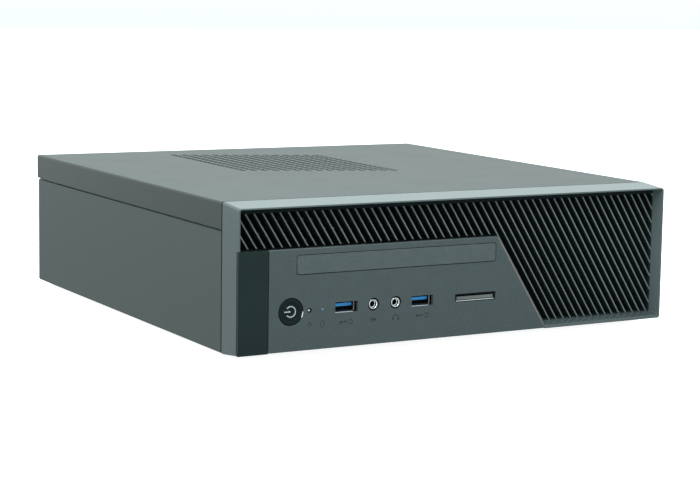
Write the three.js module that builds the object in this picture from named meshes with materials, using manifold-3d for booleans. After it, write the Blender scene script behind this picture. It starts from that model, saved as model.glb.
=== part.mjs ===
// Slim desktop computer, lying flat, with its case, front controls and inner parts.
// Millimetres. +X is to the right seen from the front, +Y runs to the rear and +Z is up.
// The origin is the centre of the footprint, level with the undersides of the feet.

import * as THREE from "three";
import { mergeVertices } from "three/addons/utils/BufferGeometryUtils.js";
import Module from "manifold-3d";

const wasm = await Module();
wasm.setup();

// Driving dimensions of the case.
const width = 309;
const bodyHeight = 90;
const footHeight = 3;
const bezelDepth = 21;
const chassisDepth = 305;
const screwReach = 7;
const sheet = 0.8;
const gap = 0.3;

const halfWidth = width / 2;
const baseZ = footHeight;
const topZ = footHeight + bodyHeight;
const frontY = -(bezelDepth + chassisDepth + screwReach) / 2;
const seamY = frontY + bezelDepth;
const rearY = seamY + chassisDepth;
const tailY = rearY + screwReach;

// Top cover.
const flangeDrop = 16.2;
const flangeZ = topZ - flangeDrop;
const lipY = rearY - sheet;
const lipZ = 77;
const lipLeft = -62;
const lipRight = 106;
const thumbscrewXs = { left: -50, right: 94 };
const thumbscrewZ = 84;

// Perforated field of the top cover: columns run back, each one a little nearer the front.
const ventColumns = 15;
const ventPitch = 7;
const ventSlotWidth = 5;
const ventSlotsPerColumn = 2;
const ventSlotPitch = 60;
const ventSlotLength = 54;
const ventShear = -2.5;
const ventLeftX = -66;
const ventFrontY = 9;

// Chassis pan and its panels.
const wallX = halfWidth - 0.5;
const upperWallX = halfWidth - sheet - gap;
const innerX = upperWallX - sheet - gap;
const joggleZ = 75.5;
const floorZ = baseZ + sheet;
const frontPanelY = seamY + 2 * gap;
const rearPanelY = lipY - gap - sheet;
const panelLowZ = floorZ + gap;
const panelHighZ = topZ - sheet - gap;

// Bezel: the front face is a little smaller than the back.
const bezelTopDrop = 1.8;
const bezelBaseRise = 2.1;
const bezelSideInset = 0.4;
const sideRim = 1.1;
const topRim = 1;
const baseRim = 2;
const recessDepth = 8;
const openingX = 151.2;
const openingLowZ = 8.8;
const openingHighZ = 88.9;

// Panels on the front of the bezel.
const stripRight = -134.8;
const panelLeft = stripRight + 0.4;
const panelTopZ = 66;
const panelBaseZ = 5.3;
const diagonalTopX = 24.2;
const diagonalLowX = 62.4;
const panelThickness = 2.5;
const faceY = frontY + 0.2;

// Ribs: leaning blades, parallel to the slanted end of the control panel.
const ribPitch = 5.588;
const ribWidth = 1.4;
const ribLean = (diagonalLowX - diagonalTopX) / (panelTopZ - panelBaseZ);
const ribFrontY = frontY + recessDepth;
const ribBackY = ribFrontY + 8;
const ribOriginX = -147.4;
const ribOriginZ = 88;

// Controls on the front, each at its own place.
const buttonX = -119.8;
const buttonZ = 29;
const buttonRadius = 8;
const blankLeft = -116;
const blankRight = 23;
const blankLowZ = 50.8;
const blankHighZ = 62;
const usbWidth = 14.8;
const usbHeight = 6.4;
const usbZ = 29.4;
const usbXs = { left: -82.6, right: -29.7 };
const jackXs = { microphone: -64, headphone: -48.6 };
const jackZ = 29.6;
const jackRadius = 3.5;
const readerLeft = -6;
const readerRight = 23.4;
const readerZ = 29.1;
const readerHeight = 4.4;
const lightXs = { power: -107.4, drive: -98.6 };
const lightZ = 29;
const boardTopZ = 25.9;

// Motherboard and what stands on it.
const boardLeft = -150;
const boardRight = 94;
const boardFrontY = -86;
const boardRearY = 155.6;
const boardLowZ = 10.2;
const boardHighZ = 11.8;
const processorX = 8;
const processorY = 58;
const fanSize = 92;
const fanLowZ = 46;
const fanHighZ = 71;
const shieldLeft = -66;
const shieldRight = 92.8;
const shieldLowZ = 9.5;
const shieldHighZ = 54;
const slotCount = 4;
const slotPitch = 20.3;
const firstSlotX = -79;

// Power supply, standing on its narrow side.
const supplyLeft = 110.4;
const supplyRight = 150.9;
const supplyLowZ = 4.3;
const supplyHighZ = 85.8;
const supplyFrontY = 8;
const supplyRearY = rearPanelY - gap;
const supplyX = (supplyLeft + supplyRight) / 2;
const supplyFanZ = 62;
const inletZ = 18;
const switchZ = 35;
const rockerTilt = THREE.MathUtils.degToRad(10);

// Drive cage.
const cageLeft = -113;
const cageRight = 21;
const cageFrontY = frontPanelY + sheet + gap;
const cageRearY = -17;
const cageLegFrontY = -124;
const cageLegRearY = -106;
const cageLowZ = 46.2;
const cageHighZ = 62;

// The slanted end of the control panel at a given height.
function diagonalX(z) {
  return diagonalTopX + (panelTopZ - z) * ribLean;
}

const materials = {
  coatedSteel: new THREE.MeshStandardMaterial({ color: 0x929d9c, roughness: 0.55, metalness: 0.2 }),
  chassisSteel: new THREE.MeshStandardMaterial({ color: 0x586160, roughness: 0.55, metalness: 0.2 }),
  bareSteel: new THREE.MeshStandardMaterial({ color: 0xb4b8ba, roughness: 0.4, metalness: 0.9 }),
  bezelPlastic: new THREE.MeshStandardMaterial({ color: 0x62706e, roughness: 0.5, metalness: 0 }),
  ribPlastic: new THREE.MeshStandardMaterial({ color: 0x2a2f30, roughness: 0.45, metalness: 0 }),
  panelPlastic: new THREE.MeshStandardMaterial({ color: 0x536062, roughness: 0.7, metalness: 0 }),
  darkPlastic: new THREE.MeshStandardMaterial({ color: 0x17191a, roughness: 0.35, metalness: 0 }),
  clearPlastic: new THREE.MeshStandardMaterial({ color: 0xdfe8f0, roughness: 0.2, metalness: 0 }),
  circuitBoard: new THREE.MeshStandardMaterial({ color: 0x143d2b, roughness: 0.6, metalness: 0 }),
  aluminium: new THREE.MeshStandardMaterial({ color: 0xc9ccce, roughness: 0.35, metalness: 0.9 }),
  rubber: new THREE.MeshStandardMaterial({ color: 0x1b1b1b, roughness: 0.9, metalness: 0 }),
};

const computer = new THREE.Group();

function addPart(name, geometry, material, position = [0, 0, 0]) {
  const mesh = new THREE.Mesh(geometry, material);
  mesh.name = name;
  mesh.position.set(...position);
  computer.add(mesh);
}

// Joining and cutting.

function toSolid(geometry) {
  const bare = geometry.clone();
  bare.deleteAttribute("normal");
  bare.deleteAttribute("uv");
  const merged = mergeVertices(bare, 1e-4);
  const vertProperties = merged.attributes.position.array;
  const triVerts = new Uint32Array(merged.index.array);
  return new wasm.Manifold(new wasm.Mesh({ numProp: 3, vertProperties, triVerts }));
}

function toGeometry(solid) {
  const mesh = solid.getMesh();
  const geometry = new THREE.BufferGeometry();
  geometry.setAttribute("position", new THREE.BufferAttribute(mesh.vertProperties, 3));
  geometry.setIndex(new THREE.BufferAttribute(mesh.triVerts, 1));
  return geometry;
}

function join(first, ...others) {
  return toGeometry(others.reduce((whole, piece) => whole.add(toSolid(piece)), toSolid(first)));
}

function cut(piece, ...tools) {
  return toGeometry(tools.reduce((whole, tool) => whole.subtract(toSolid(tool)), toSolid(piece)));
}

function common(first, second) {
  return toGeometry(toSolid(first).intersect(toSolid(second)));
}

// Basic forms. A block is given by its low and high corners.

function block(lowX, highX, lowY, highY, lowZ, highZ) {
  const geometry = new THREE.BoxGeometry(highX - lowX, highY - lowY, highZ - lowZ);
  return geometry.translate((lowX + highX) / 2, (lowY + highY) / 2, (lowZ + highZ) / 2);
}

// A block between two upright rectangles, each [low X, high X, low Z, high Z].
function taperedBlock(lowY, highY, frontRectangle, backRectangle) {
  const geometry = new THREE.BoxGeometry(1, 1, 1);
  const corners = geometry.attributes.position;
  for (let index = 0; index < corners.count; index += 1) {
    const isFront = corners.getY(index) < 0;
    const [lowX, highX, lowZ, highZ] = isFront ? frontRectangle : backRectangle;
    const x = corners.getX(index) < 0 ? lowX : highX;
    const z = corners.getZ(index) < 0 ? lowZ : highZ;
    corners.setXYZ(index, x, isFront ? lowY : highY, z);
  }
  return geometry;
}

function rodAlongY(radius, lowY, highY, x, z, sides = 20) {
  const geometry = new THREE.CylinderGeometry(radius, radius, highY - lowY, sides);
  return geometry.translate(x, (lowY + highY) / 2, z);
}

function postAlongZ(radius, lowZ, highZ, x, y, sides = 20) {
  const geometry = new THREE.CylinderGeometry(radius, radius, highZ - lowZ, sides);
  return geometry.rotateX(Math.PI / 2).translate(x, y, (lowZ + highZ) / 2);
}

// An outline of [x, z] points drawn on an upright plane and run back along Y.
function outlineAlongY(points, lowY, highY) {
  const shape = new THREE.Shape(points.map(([x, z]) => new THREE.Vector2(x, z)));
  const geometry = new THREE.ExtrudeGeometry(shape, { depth: highY - lowY, bevelEnabled: false });
  return geometry.rotateX(Math.PI / 2).translate(0, highY, 0);
}

// An outline of [y, z] points run across along X.
function outlineAlongX(points, lowX, highX) {
  const shape = new THREE.Shape(points.map(([y, z]) => new THREE.Vector2(y, z)));
  const geometry = new THREE.ExtrudeGeometry(shape, { depth: highX - lowX, bevelEnabled: false });
  const turn = new THREE.Matrix4().makeBasis(
    new THREE.Vector3(0, 1, 0),
    new THREE.Vector3(0, 0, 1),
    new THREE.Vector3(1, 0, 0),
  );
  return geometry.applyMatrix4(turn).translate(lowX, 0, 0);
}

// A cable of round section through a list of points.
function cable(points, radius, steps) {
  const curve = new THREE.CatmullRomCurve3(points.map((point) => new THREE.Vector3(...point)));
  const section = new THREE.Shape();
  section.absarc(0, 0, radius, 0, 2 * Math.PI);
  return new THREE.ExtrudeGeometry(section, { steps, extrudePath: curve, curveSegments: 2 });
}

// A fan rotor about Z: a hub with tilted blades.
function rotor(hubRadius, bladeRadius, height, bladeCount, bladeTilt) {
  const pieces = [postAlongZ(hubRadius, -height / 2, height / 2, 0, 0, 24)];
  for (let index = 0; index < bladeCount; index += 1) {
    const blade = new THREE.BoxGeometry(bladeRadius - hubRadius + 1, height * 1.25, 1.2);
    blade.rotateX(bladeTilt);
    blade.translate((bladeRadius + hubRadius - 1) / 2, 0, 0);
    blade.rotateZ((index / bladeCount) * 2 * Math.PI);
    pieces.push(blade);
  }
  return join(...pieces);
}

// A square fan frame about Z with its motor mount held by four arms at the low end.
function fanFrame(size, depth, boreRadius, mountRadius) {
  const half = size / 2;
  const body = cut(
    block(-half, half, -half, half, -depth / 2, depth / 2),
    postAlongZ(boreRadius, -depth, depth, 0, 0, 32),
  );
  const armHigh = -depth / 2 + 2;
  return join(
    body,
    block(-boreRadius - 1, boreRadius + 1, -1.5, 1.5, -depth / 2, armHigh),
    block(-1.5, 1.5, -boreRadius - 1, boreRadius + 1, -depth / 2, armHigh),
    postAlongZ(mountRadius, -depth / 2, armHigh, 0, 0, 24),
  );
}

// Chassis: a floor with raised bosses for the board, and a stepped wall at each side.

const floorX = wallX - sheet - gap;
const bosses = [];
for (const x of [-140, -20, 84]) {
  for (const y of [-76, 30, 145]) {
    bosses.push(postAlongZ(3.5, baseZ + sheet / 2, boardLowZ - 0.1, x, y, 12));
  }
}
addPart(
  "chassis_floor",
  join(block(-floorX, floorX, seamY + gap, rearPanelY + sheet, baseZ, floorZ), ...bosses),
  materials.chassisSteel,
);

const wallOutline = [
  [wallX, baseZ],
  [wallX, joggleZ],
  [upperWallX, joggleZ + 0.6],
  [upperWallX, panelHighZ],
  [upperWallX - sheet, panelHighZ],
  [upperWallX - sheet, joggleZ + 0.2],
  [wallX - sheet, joggleZ - 0.4],
  [wallX - sheet, baseZ],
];
for (const [side, sign] of [["left", -1], ["right", 1]]) {
  const outline = wallOutline.map(([x, z]) => [sign * x, z]);
  const wall = outlineAlongY(outline, seamY + gap, rearPanelY + sheet);
  addPart(`chassis_wall_${side}`, wall, materials.chassisSteel);
}

// The front panel stops below the drive bay, and a folded rail closes the front above it.

const clipPlaces = [
  [-143.5, 76],
  [143.5, 76],
  [-143.5, 14],
  [143.5, 14],
];
const clipHoles = clipPlaces.map(([x, z]) => block(x - 4, x + 4, seamY, seamY + 5, z - 3.4, z + 3.4));
const frontGrilles = [];
for (let index = 0; index < 11; index += 1) {
  const x = 46 + index * 8;
  frontGrilles.push(block(x, x + 4, seamY, seamY + 5, 20, 70));
}
const panelStepX = cageRight - 1.2;
addPart(
  "front_panel",
  cut(
    join(
      block(-innerX, innerX, frontPanelY, frontPanelY + sheet, panelLowZ, cageLowZ + 1),
      block(panelStepX, innerX, frontPanelY, frontPanelY + sheet, cageLowZ, panelHighZ),
    ),
    block(-136, 32, seamY, seamY + 5, 15, 38),
    ...clipHoles,
    ...frontGrilles,
  ),
  materials.bareSteel,
);
addPart(
  "front_rail",
  cut(
    join(
      block(-innerX, panelStepX - gap, frontPanelY, frontPanelY + sheet, cageHighZ - 1, panelHighZ),
      block(-innerX, panelStepX - gap, frontPanelY, frontPanelY + 9, panelHighZ - sheet, panelHighZ),
    ),
    clipHoles[0],
  ),
  materials.bareSteel,
);

const slotXs = Array.from({ length: slotCount }, (unused, index) => firstSlotX - index * slotPitch);
const slotHoles = slotXs.map((x) => block(x - 6.3, x + 6.3, rearPanelY - 1, rearY, 18, 78));
const exhaustSlots = [];
for (let index = 0; index < 16; index += 1) {
  const x = -56 + index * 9;
  exhaustSlots.push(block(x, x + 4, rearPanelY - 1, rearY, 58, 74));
}
addPart(
  "rear_panel",
  cut(
    block(-innerX, innerX, rearPanelY, rearPanelY + sheet, panelLowZ, panelHighZ),
    block(shieldLeft, shieldRight, rearPanelY - 1, rearY, shieldLowZ, shieldHighZ),
    block(supplyLeft + 2.5, supplyRight - 2.5, rearPanelY - 1, rearY, supplyLowZ + 3, supplyHighZ - 3),
    ...Object.values(thumbscrewXs).map((x) => rodAlongY(2, rearPanelY - 1, rearY, x, thumbscrewZ, 12)),
    ...slotHoles,
    ...exhaustSlots,
  ),
  materials.bareSteel,
);

// Top cover: a sheet folded down at both sides, with a short lip at the rear.

const coverFold = outlineAlongY(
  [
    [-halfWidth, flangeZ],
    [-halfWidth, topZ - 1],
    [-halfWidth + 1, topZ],
    [halfWidth - 1, topZ],
    [halfWidth, topZ - 1],
    [halfWidth, flangeZ],
    [halfWidth - sheet, flangeZ],
    [halfWidth - sheet, topZ - sheet],
    [sheet - halfWidth, topZ - sheet],
    [sheet - halfWidth, flangeZ],
  ],
  seamY + gap,
  rearY,
);
const coverLip = block(lipLeft, lipRight, lipY, rearY, lipZ, topZ - sheet / 2);
const ventSlots = [];
for (let column = 0; column < ventColumns; column += 1) {
  for (let row = 0; row < ventSlotsPerColumn; row += 1) {
    const x = ventLeftX + column * ventPitch;
    const y = ventFrontY + column * ventShear + row * ventSlotPitch;
    ventSlots.push(block(x, x + ventSlotWidth, y, y + ventSlotLength, topZ - 3, topZ + 1));
  }
}
addPart(
  "top_cover",
  cut(
    join(coverFold, coverLip),
    ...ventSlots,
    ...Object.values(thumbscrewXs).map((x) => rodAlongY(2, lipY - 0.1, rearY + 1, x, thumbscrewZ, 12)),
  ),
  materials.coatedSteel,
);

for (const [side, x] of Object.entries(thumbscrewXs)) {
  const screw = join(
    rodAlongY(5.5, rearY + 0.2, tailY, x, thumbscrewZ, 24),
    rodAlongY(1.6, rearPanelY - 5, rearY + 1, x, thumbscrewZ, 12),
  );
  addPart(`cover_thumbscrew_${side}`, screw, materials.bareSteel);
}

// Front bezel: a hollow frame with four clips at its back.

const bezelOuter = taperedBlock(
  frontY,
  seamY,
  [bezelSideInset - halfWidth, halfWidth - bezelSideInset, baseZ + bezelBaseRise, topZ - bezelTopDrop],
  [-halfWidth, halfWidth, baseZ, topZ],
);
const mouthX = halfWidth - bezelSideInset - sideRim;
const mouthLowZ = baseZ + bezelBaseRise + baseRim;
const mouthHighZ = topZ - bezelTopDrop - topRim;
const bezelMouth = taperedBlock(
  frontY,
  ribFrontY,
  [-mouthX, mouthX, mouthLowZ, mouthHighZ],
  [-openingX, openingX, openingLowZ, openingHighZ],
);
const bezelFrontTrim = block(-mouthX, mouthX, frontY - 1, frontY + 0.01, mouthLowZ, mouthHighZ);
const bezelBore = block(-openingX, openingX, ribFrontY - 0.01, seamY + 1, openingLowZ, openingHighZ);
const stripSeat = block(-halfWidth - 1, stripRight, frontY - 1, frontY + 2.5, 4, panelTopZ + 0.2);
const panelSeat = outlineAlongY(
  [
    [panelLeft - gap, panelBaseZ - 1],
    [diagonalX(panelBaseZ) + gap, panelBaseZ - 1],
    [diagonalX(panelBaseZ) + gap, panelBaseZ],
    [diagonalX(panelTopZ) + gap, panelTopZ],
    [panelLeft - gap, panelTopZ],
  ],
  frontY - 1,
  ribFrontY + gap,
);
const bezelClips = clipPlaces.map(([x, z]) => {
  const wall = Math.sign(x) * (openingX + 1);
  const arm = block(x - 2.5, x + 2.5, seamY - 3, seamY + 6, z - 2.5, z + 2.5);
  const root = block(Math.min(x, wall), Math.max(x, wall), seamY - 3, seamY - 0.2, z - 2.5, z + 2.5);
  return join(arm, root);
});
addPart(
  "front_bezel",
  join(cut(bezelOuter, bezelMouth, bezelFrontTrim, bezelBore, stripSeat, panelSeat), ...bezelClips),
  materials.bezelPlastic,
);

addPart(
  "side_strip",
  join(
    block(-halfWidth + bezelSideInset, stripRight - 0.2, frontY, frontY + 2.2, panelBaseZ, panelTopZ),
    block(-openingX + gap, stripRight - 0.2, frontY + 2, ribFrontY + 3, openingLowZ + gap, panelTopZ),
  ),
  materials.darkPlastic,
);

// Ribs, clipped to the part of the recess that the panels leave free.

const ribHighZ = openingHighZ - gap;
const ribLowZ = openingLowZ + gap;
const ribSideX = openingX - gap;
const ribRegion = outlineAlongY(
  [
    [-ribSideX, panelTopZ + 0.5],
    [-ribSideX, ribHighZ],
    [ribSideX, ribHighZ],
    [ribSideX, ribLowZ],
    [diagonalX(ribLowZ) + 0.8, ribLowZ],
    [diagonalX(panelTopZ + 0.5) + 0.8, panelTopZ + 0.5],
  ],
  ribFrontY,
  ribBackY + 2,
);
const ribs = [];
const firstRib = -9;
const lastRib = 60;
for (let index = firstRib; index <= lastRib; index += 1) {
  const x = ribOriginX + index * ribPitch;
  const topX = x - (ribHighZ + 1 - ribOriginZ) * ribLean;
  const lowX = x + (ribOriginZ - ribLowZ + 1) * ribLean;
  const outline = [
    [topX, ribHighZ + 1],
    [lowX, ribLowZ - 1],
    [lowX + ribWidth, ribLowZ - 1],
    [topX + ribWidth, ribHighZ + 1],
  ];
  ribs.push(outlineAlongY(outline, ribFrontY, ribBackY));
}
const rails = [
  block(-ribSideX, ribSideX, ribBackY - 0.5, ribBackY + 1.2, ribHighZ - 3, ribHighZ),
  block(-ribSideX, 32, ribBackY - 0.5, ribBackY + 1.2, panelTopZ + 0.5, panelTopZ + 3.5),
  block(55, ribSideX, ribBackY - 0.5, ribBackY + 1.2, ribLowZ, ribLowZ + 3),
];
addPart("rib_grille", common(join(...ribs, ...rails), ribRegion), materials.ribPlastic);

const backingHoles = [];
const backingHoleCount = 8;
for (let index = 0; index < backingHoleCount; index += 1) {
  const x = 76 + index * 9;
  backingHoles.push(block(x, x + 4.5, ribBackY, seamY, 16, 58));
}
addPart(
  "grille_backing",
  cut(
    outlineAlongY(
      [
        [-136, panelTopZ + 1],
        [-136, ribHighZ],
        [136, ribHighZ],
        [136, ribLowZ],
        [diagonalX(ribLowZ) + 2, ribLowZ],
        [diagonalX(panelTopZ + 1) + 2, panelTopZ + 1],
      ],
      ribBackY + 1.5,
      ribBackY + 2.7,
    ),
    ...backingHoles,
  ),
  materials.darkPlastic,
);

// Control panel: a plate with a turned-back edge, slanted at its right end.

const panelOutline = (inset) => [
  [panelLeft + inset, panelBaseZ + inset],
  [diagonalX(panelBaseZ + inset) - inset * 1.2, panelBaseZ + inset],
  [diagonalX(panelTopZ - inset) - inset * 1.2, panelTopZ - inset],
  [panelLeft + inset, panelTopZ - inset],
];
const panelBody = common(
  outlineAlongY(panelOutline(0), faceY, ribFrontY + 5),
  join(
    block(-200, 200, faceY - 1, ribFrontY + 0.01, 0, 100),
    block(-200, 200, ribFrontY, ribFrontY + 6, ribLowZ, 100),
  ),
);
const panelHollow = outlineAlongY(panelOutline(2), faceY + panelThickness, ribFrontY + 6);
const faceCuts = [
  block(blankLeft - gap, blankRight + gap, frontY - 1, ribFrontY, blankLowZ - gap, blankHighZ + gap),
  rodAlongY(buttonRadius + gap, frontY - 1, ribFrontY, buttonX, buttonZ, 32),
  rodAlongY(1.4, frontY - 1, ribFrontY, lightXs.power, lightZ, 12),
  rodAlongY(1.1, frontY - 1, ribFrontY, lightXs.drive, lightZ, 12),
  block(readerLeft - gap, readerRight + gap, frontY - 1, ribFrontY, readerZ - 2.5, readerZ + 2.5),
];
for (const x of Object.values(usbXs)) {
  const halfUsb = usbWidth / 2 + gap;
  const lowZ = usbZ - usbHeight / 2 - gap;
  faceCuts.push(block(x - halfUsb, x + halfUsb, frontY - 1, ribFrontY, lowZ, lowZ + usbHeight + 2 * gap));
}
for (const x of Object.values(jackXs)) {
  faceCuts.push(rodAlongY(jackRadius + gap, frontY - 1, ribFrontY, x, jackZ, 24));
}
addPart("control_panel", cut(panelBody, panelHollow, ...faceCuts), materials.panelPlastic);

addPart(
  "drive_bay_blank",
  join(
    block(blankLeft, blankRight, faceY, faceY + 2, blankLowZ, blankHighZ),
    block(blankLeft + 4, blankLeft + 6, faceY + 1, faceY + 8, blankLowZ + 2, blankHighZ - 2),
    block(blankRight - 6, blankRight - 4, faceY + 1, faceY + 8, blankLowZ + 2, blankHighZ - 2),
  ),
  materials.panelPlastic,
);

addPart(
  "power_button",
  join(
    rodAlongY(buttonRadius, faceY, faceY + 5, buttonX, buttonZ, 32),
    rodAlongY(2.5, faceY + 4, faceY + 12, buttonX, buttonZ, 12),
  ),
  materials.darkPlastic,
);
addPart(
  "power_light_pipe",
  rodAlongY(1.1, faceY, faceY + 12, lightXs.power, lightZ, 12),
  materials.clearPlastic,
);
addPart(
  "drive_light_pipe",
  rodAlongY(0.8, faceY, faceY + 12, lightXs.drive, lightZ, 12),
  materials.clearPlastic,
);

// Front board, which stays on the chassis, with its ports.

const frontBoardFrontY = faceY + 7.5;
const frontBoardBackY = -128;
addPart(
  "front_io_board",
  join(
    block(-130, 28, frontBoardFrontY, frontBoardBackY, boardTopZ - 1.4, boardTopZ),
    block(-60, -40, frontBoardBackY - 8, frontBoardBackY - 1, boardTopZ - 0.5, boardTopZ + 8),
    block(-35, -15, frontBoardBackY - 8, frontBoardBackY - 1, boardTopZ - 0.5, boardTopZ + 8),
    block(lightXs.power - 1.5, lightXs.power + 1.5, -152.5, -149, boardTopZ - 0.5, lightZ + 1.5),
    block(lightXs.drive - 1.5, lightXs.drive + 1.5, -152.5, -149, boardTopZ - 0.5, lightZ + 1.5),
  ),
  materials.circuitBoard,
);
addPart(
  "front_io_bracket",
  join(
    block(-126, 24, -155, frontBoardBackY, boardTopZ - 4, boardTopZ - 3),
    block(-126, 24, frontPanelY + sheet + gap, frontPanelY + sheet + gap + 1, 8, boardTopZ - 3.5),
    postAlongZ(2.5, boardTopZ - 3.5, boardTopZ - 1.6, -122, -137, 12),
    postAlongZ(2.5, boardTopZ - 3.5, boardTopZ - 1.6, 20, -137, 12),
  ),
  materials.bareSteel,
);
addPart(
  "power_switch",
  join(
    block(buttonX - 3, buttonX + 3, -150.5, -146.5, boardTopZ + 0.1, buttonZ + 3),
    rodAlongY(1.75, -152, -150, buttonX, buttonZ, 12),
  ),
  materials.darkPlastic,
);

// A USB socket opening towards -Y: shell, tongue near the top, closed at the back.
function usbSocket(x, z, mouthY, depth) {
  const halfWide = usbWidth / 2;
  const halfHigh = usbHeight / 2;
  const boreWide = halfWide - 0.8;
  const boreHigh = halfHigh - 0.7;
  const shell = cut(
    block(x - halfWide, x + halfWide, mouthY, mouthY + depth, z - halfHigh, z + halfHigh),
    block(x - boreWide, x + boreWide, mouthY - 1, mouthY + depth - 2, z - boreHigh, z + boreHigh),
  );
  const tongue = block(x - 5.6, x + 5.6, mouthY + 0.8, mouthY + depth - 1, z + 0.2, z + 2);
  return join(shell, tongue);
}

for (const [side, x] of Object.entries(usbXs)) {
  addPart(`usb_port_${side}`, usbSocket(x, usbZ, faceY, 14), materials.bareSteel);
}
for (const [use, x] of Object.entries(jackXs)) {
  const jack = cut(
    join(
      rodAlongY(jackRadius, faceY, faceY + 4, x, jackZ, 24),
      block(x - 3.5, x + 3.5, faceY + 3.5, faceY + 14, boardTopZ + 0.1, jackZ + 3.3),
    ),
    rodAlongY(1.8, faceY - 1, faceY + 12, x, jackZ, 16),
  );
  addPart(`${use}_jack`, jack, materials.bareSteel);
}
const readerHalf = readerHeight / 2;
addPart(
  "card_reader",
  cut(
    block(readerLeft, readerRight, faceY + 0.4, faceY + 30, readerZ - readerHalf, readerZ + readerHalf),
    block(readerLeft + 2.4, readerRight - 2.4, faceY - 1, faceY + 26, readerZ - 1.1, readerZ + 1.1),
  ),
  materials.darkPlastic,
);

// Feet.

for (const [row, y] of [["front", -122], ["rear", 132]]) {
  for (const [side, x] of [["left", -122], ["right", 122]]) {
    const foot = new THREE.CylinderGeometry(10, 8.5, footHeight - 0.1, 24);
    foot.rotateX(Math.PI / 2).translate(x, y, (footHeight - 0.1) / 2);
    addPart(`foot_${row}_${side}`, foot, materials.rubber);
  }
}

// Motherboard with its sockets, slots and capacitors.

const boardPieces = [block(boardLeft, boardRight, boardFrontY, boardRearY, boardLowZ, boardHighZ)];
const boardBedZ = boardHighZ - 0.5;
const socketHalf = 22;
boardPieces.push(
  block(
    processorX - socketHalf,
    processorX + socketHalf,
    processorY - socketHalf,
    processorY + socketHalf,
    boardBedZ,
    15.5,
  ),
);
boardPieces.push(block(-84, -54, -40, -10, boardBedZ, 19));
boardPieces.push(block(34, 86, -80, -71, boardBedZ, 22));
boardPieces.push(block(-148, -128, -84, -76, boardBedZ, 20));
boardPieces.push(block(66, 82, 118, 128, boardBedZ, 22));
for (const [index, x] of slotXs.slice(0, 3).entries()) {
  boardPieces.push(block(x - 3.8, x + 3.8, index === 0 ? 20 : 82, 110, boardBedZ, 23));
}
const memoryYs = [-36, -46];
for (const y of memoryYs) {
  boardPieces.push(block(-43, 90, y - 3.2, y - 1, boardBedZ, 18));
  boardPieces.push(block(-43, 90, y + 1, y + 3.2, boardBedZ, 18));
}
const capacitorPlaces = [
  [66, 20],
  [66, 32],
  [66, 44],
  [66, 92],
  [66, 104],
  [-44, 20],
  [-50, 100],
  [-20, -70],
];
for (const [x, y] of capacitorPlaces) {
  boardPieces.push(postAlongZ(4, boardBedZ, 23, x, y, 10));
}
addPart("motherboard", join(...boardPieces), materials.circuitBoard);

for (const [index, y] of memoryYs.entries()) {
  const module = join(
    block(-42, 89, y - 0.6, y + 0.6, boardHighZ + 1, 42.5),
    block(-36, 83, y - 1.6, y + 1.6, 21, 40),
  );
  addPart(`memory_module_${index + 1}`, module, materials.circuitBoard);
}

const finPieces = [block(processorX - 42, processorX + 42, processorY - 42, processorY + 42, 17.8, 22)];
finPieces.push(block(processorX - 18, processorX + 18, processorY - 18, processorY + 18, 15.8, 18));
const finCount = 15;
for (let index = 0; index < finCount; index += 1) {
  const x = processorX - 42 + (index * (84 - 1.4)) / (finCount - 1);
  finPieces.push(block(x, x + 1.4, processorY - 42, processorY + 42, 21.5, fanLowZ - 0.4));
}
addPart("cpu_heatsink", join(...finPieces), materials.aluminium);

const fanMidZ = (fanLowZ + fanHighZ) / 2;
const fanDepth = fanHighZ - fanLowZ;
addPart(
  "cpu_fan_frame",
  fanFrame(fanSize, fanDepth, 44.5, 18),
  materials.darkPlastic,
  [processorX, processorY, fanMidZ],
);
addPart(
  "cpu_fan_rotor",
  rotor(18, 42, 16, 7, 0.6),
  materials.darkPlastic,
  [processorX, processorY, fanMidZ + 1.5],
);

// Rear connectors and the plate around them.

const portBackY = 138;
const portFaceY = rearY - 0.3;

// A block of rear connectors with sockets cut from the rear, each [x, z, width, height, depth].
function rearPorts(lowX, highX, highZ, sockets) {
  const lowZ = boardHighZ + 0.1;
  const holes = sockets.map(([x, z, wide, high, deep]) =>
    block(x - wide / 2, x + wide / 2, portFaceY - deep, portFaceY + 1, z - high / 2, z + high / 2),
  );
  return cut(block(lowX, highX, portBackY, portFaceY, lowZ, highZ), ...holes);
}

// Tongues stand in the upper part of each USB socket.
function rearTongues(x, heights) {
  return heights.map((z) => block(x - 5.6, x + 5.6, portFaceY - 14, portFaceY - 1.5, z + 0.3, z + 2.1));
}

const usbSlots = (x, heights) => heights.map((z) => [x, z, 13.2, 5, 13]);
const lanX = 40;
const usbTowerX = 16;
addPart(
  "lan_usb_ports",
  join(
    rearPorts(lanX - 8.5, lanX + 8.5, 43, [[lanX, 35, 12, 8.4, 12], ...usbSlots(lanX, [16, 23.5])]),
    ...rearTongues(lanX, [16, 23.5]),
  ),
  materials.bareSteel,
);
addPart(
  "usb_ports",
  join(
    rearPorts(usbTowerX - 8.5, usbTowerX + 8.5, 28, usbSlots(usbTowerX, [16, 23.5])),
    ...rearTongues(usbTowerX, [16, 23.5]),
  ),
  materials.bareSteel,
);
addPart(
  "video_ports",
  join(
    rearPorts(52, 88, 21, [[61, 16.4, 15, 4.8, 9], [79, 16.4, 16, 5, 9]]),
    block(56, 66, portFaceY - 10, portFaceY - 2, 16, 17.4),
    block(74, 84, portFaceY - 10, portFaceY - 2, 16, 17.4),
  ),
  materials.bareSteel,
);
const audioX = -48;
addPart(
  "audio_ports",
  cut(
    block(audioX - 7, audioX + 7, portBackY, portFaceY, boardHighZ + 0.1, 49),
    ...[19, 30.5, 42].map((z) => rodAlongY(1.9, portFaceY - 13, portFaceY + 1, audioX, z, 16)),
  ),
  materials.darkPlastic,
);

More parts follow.
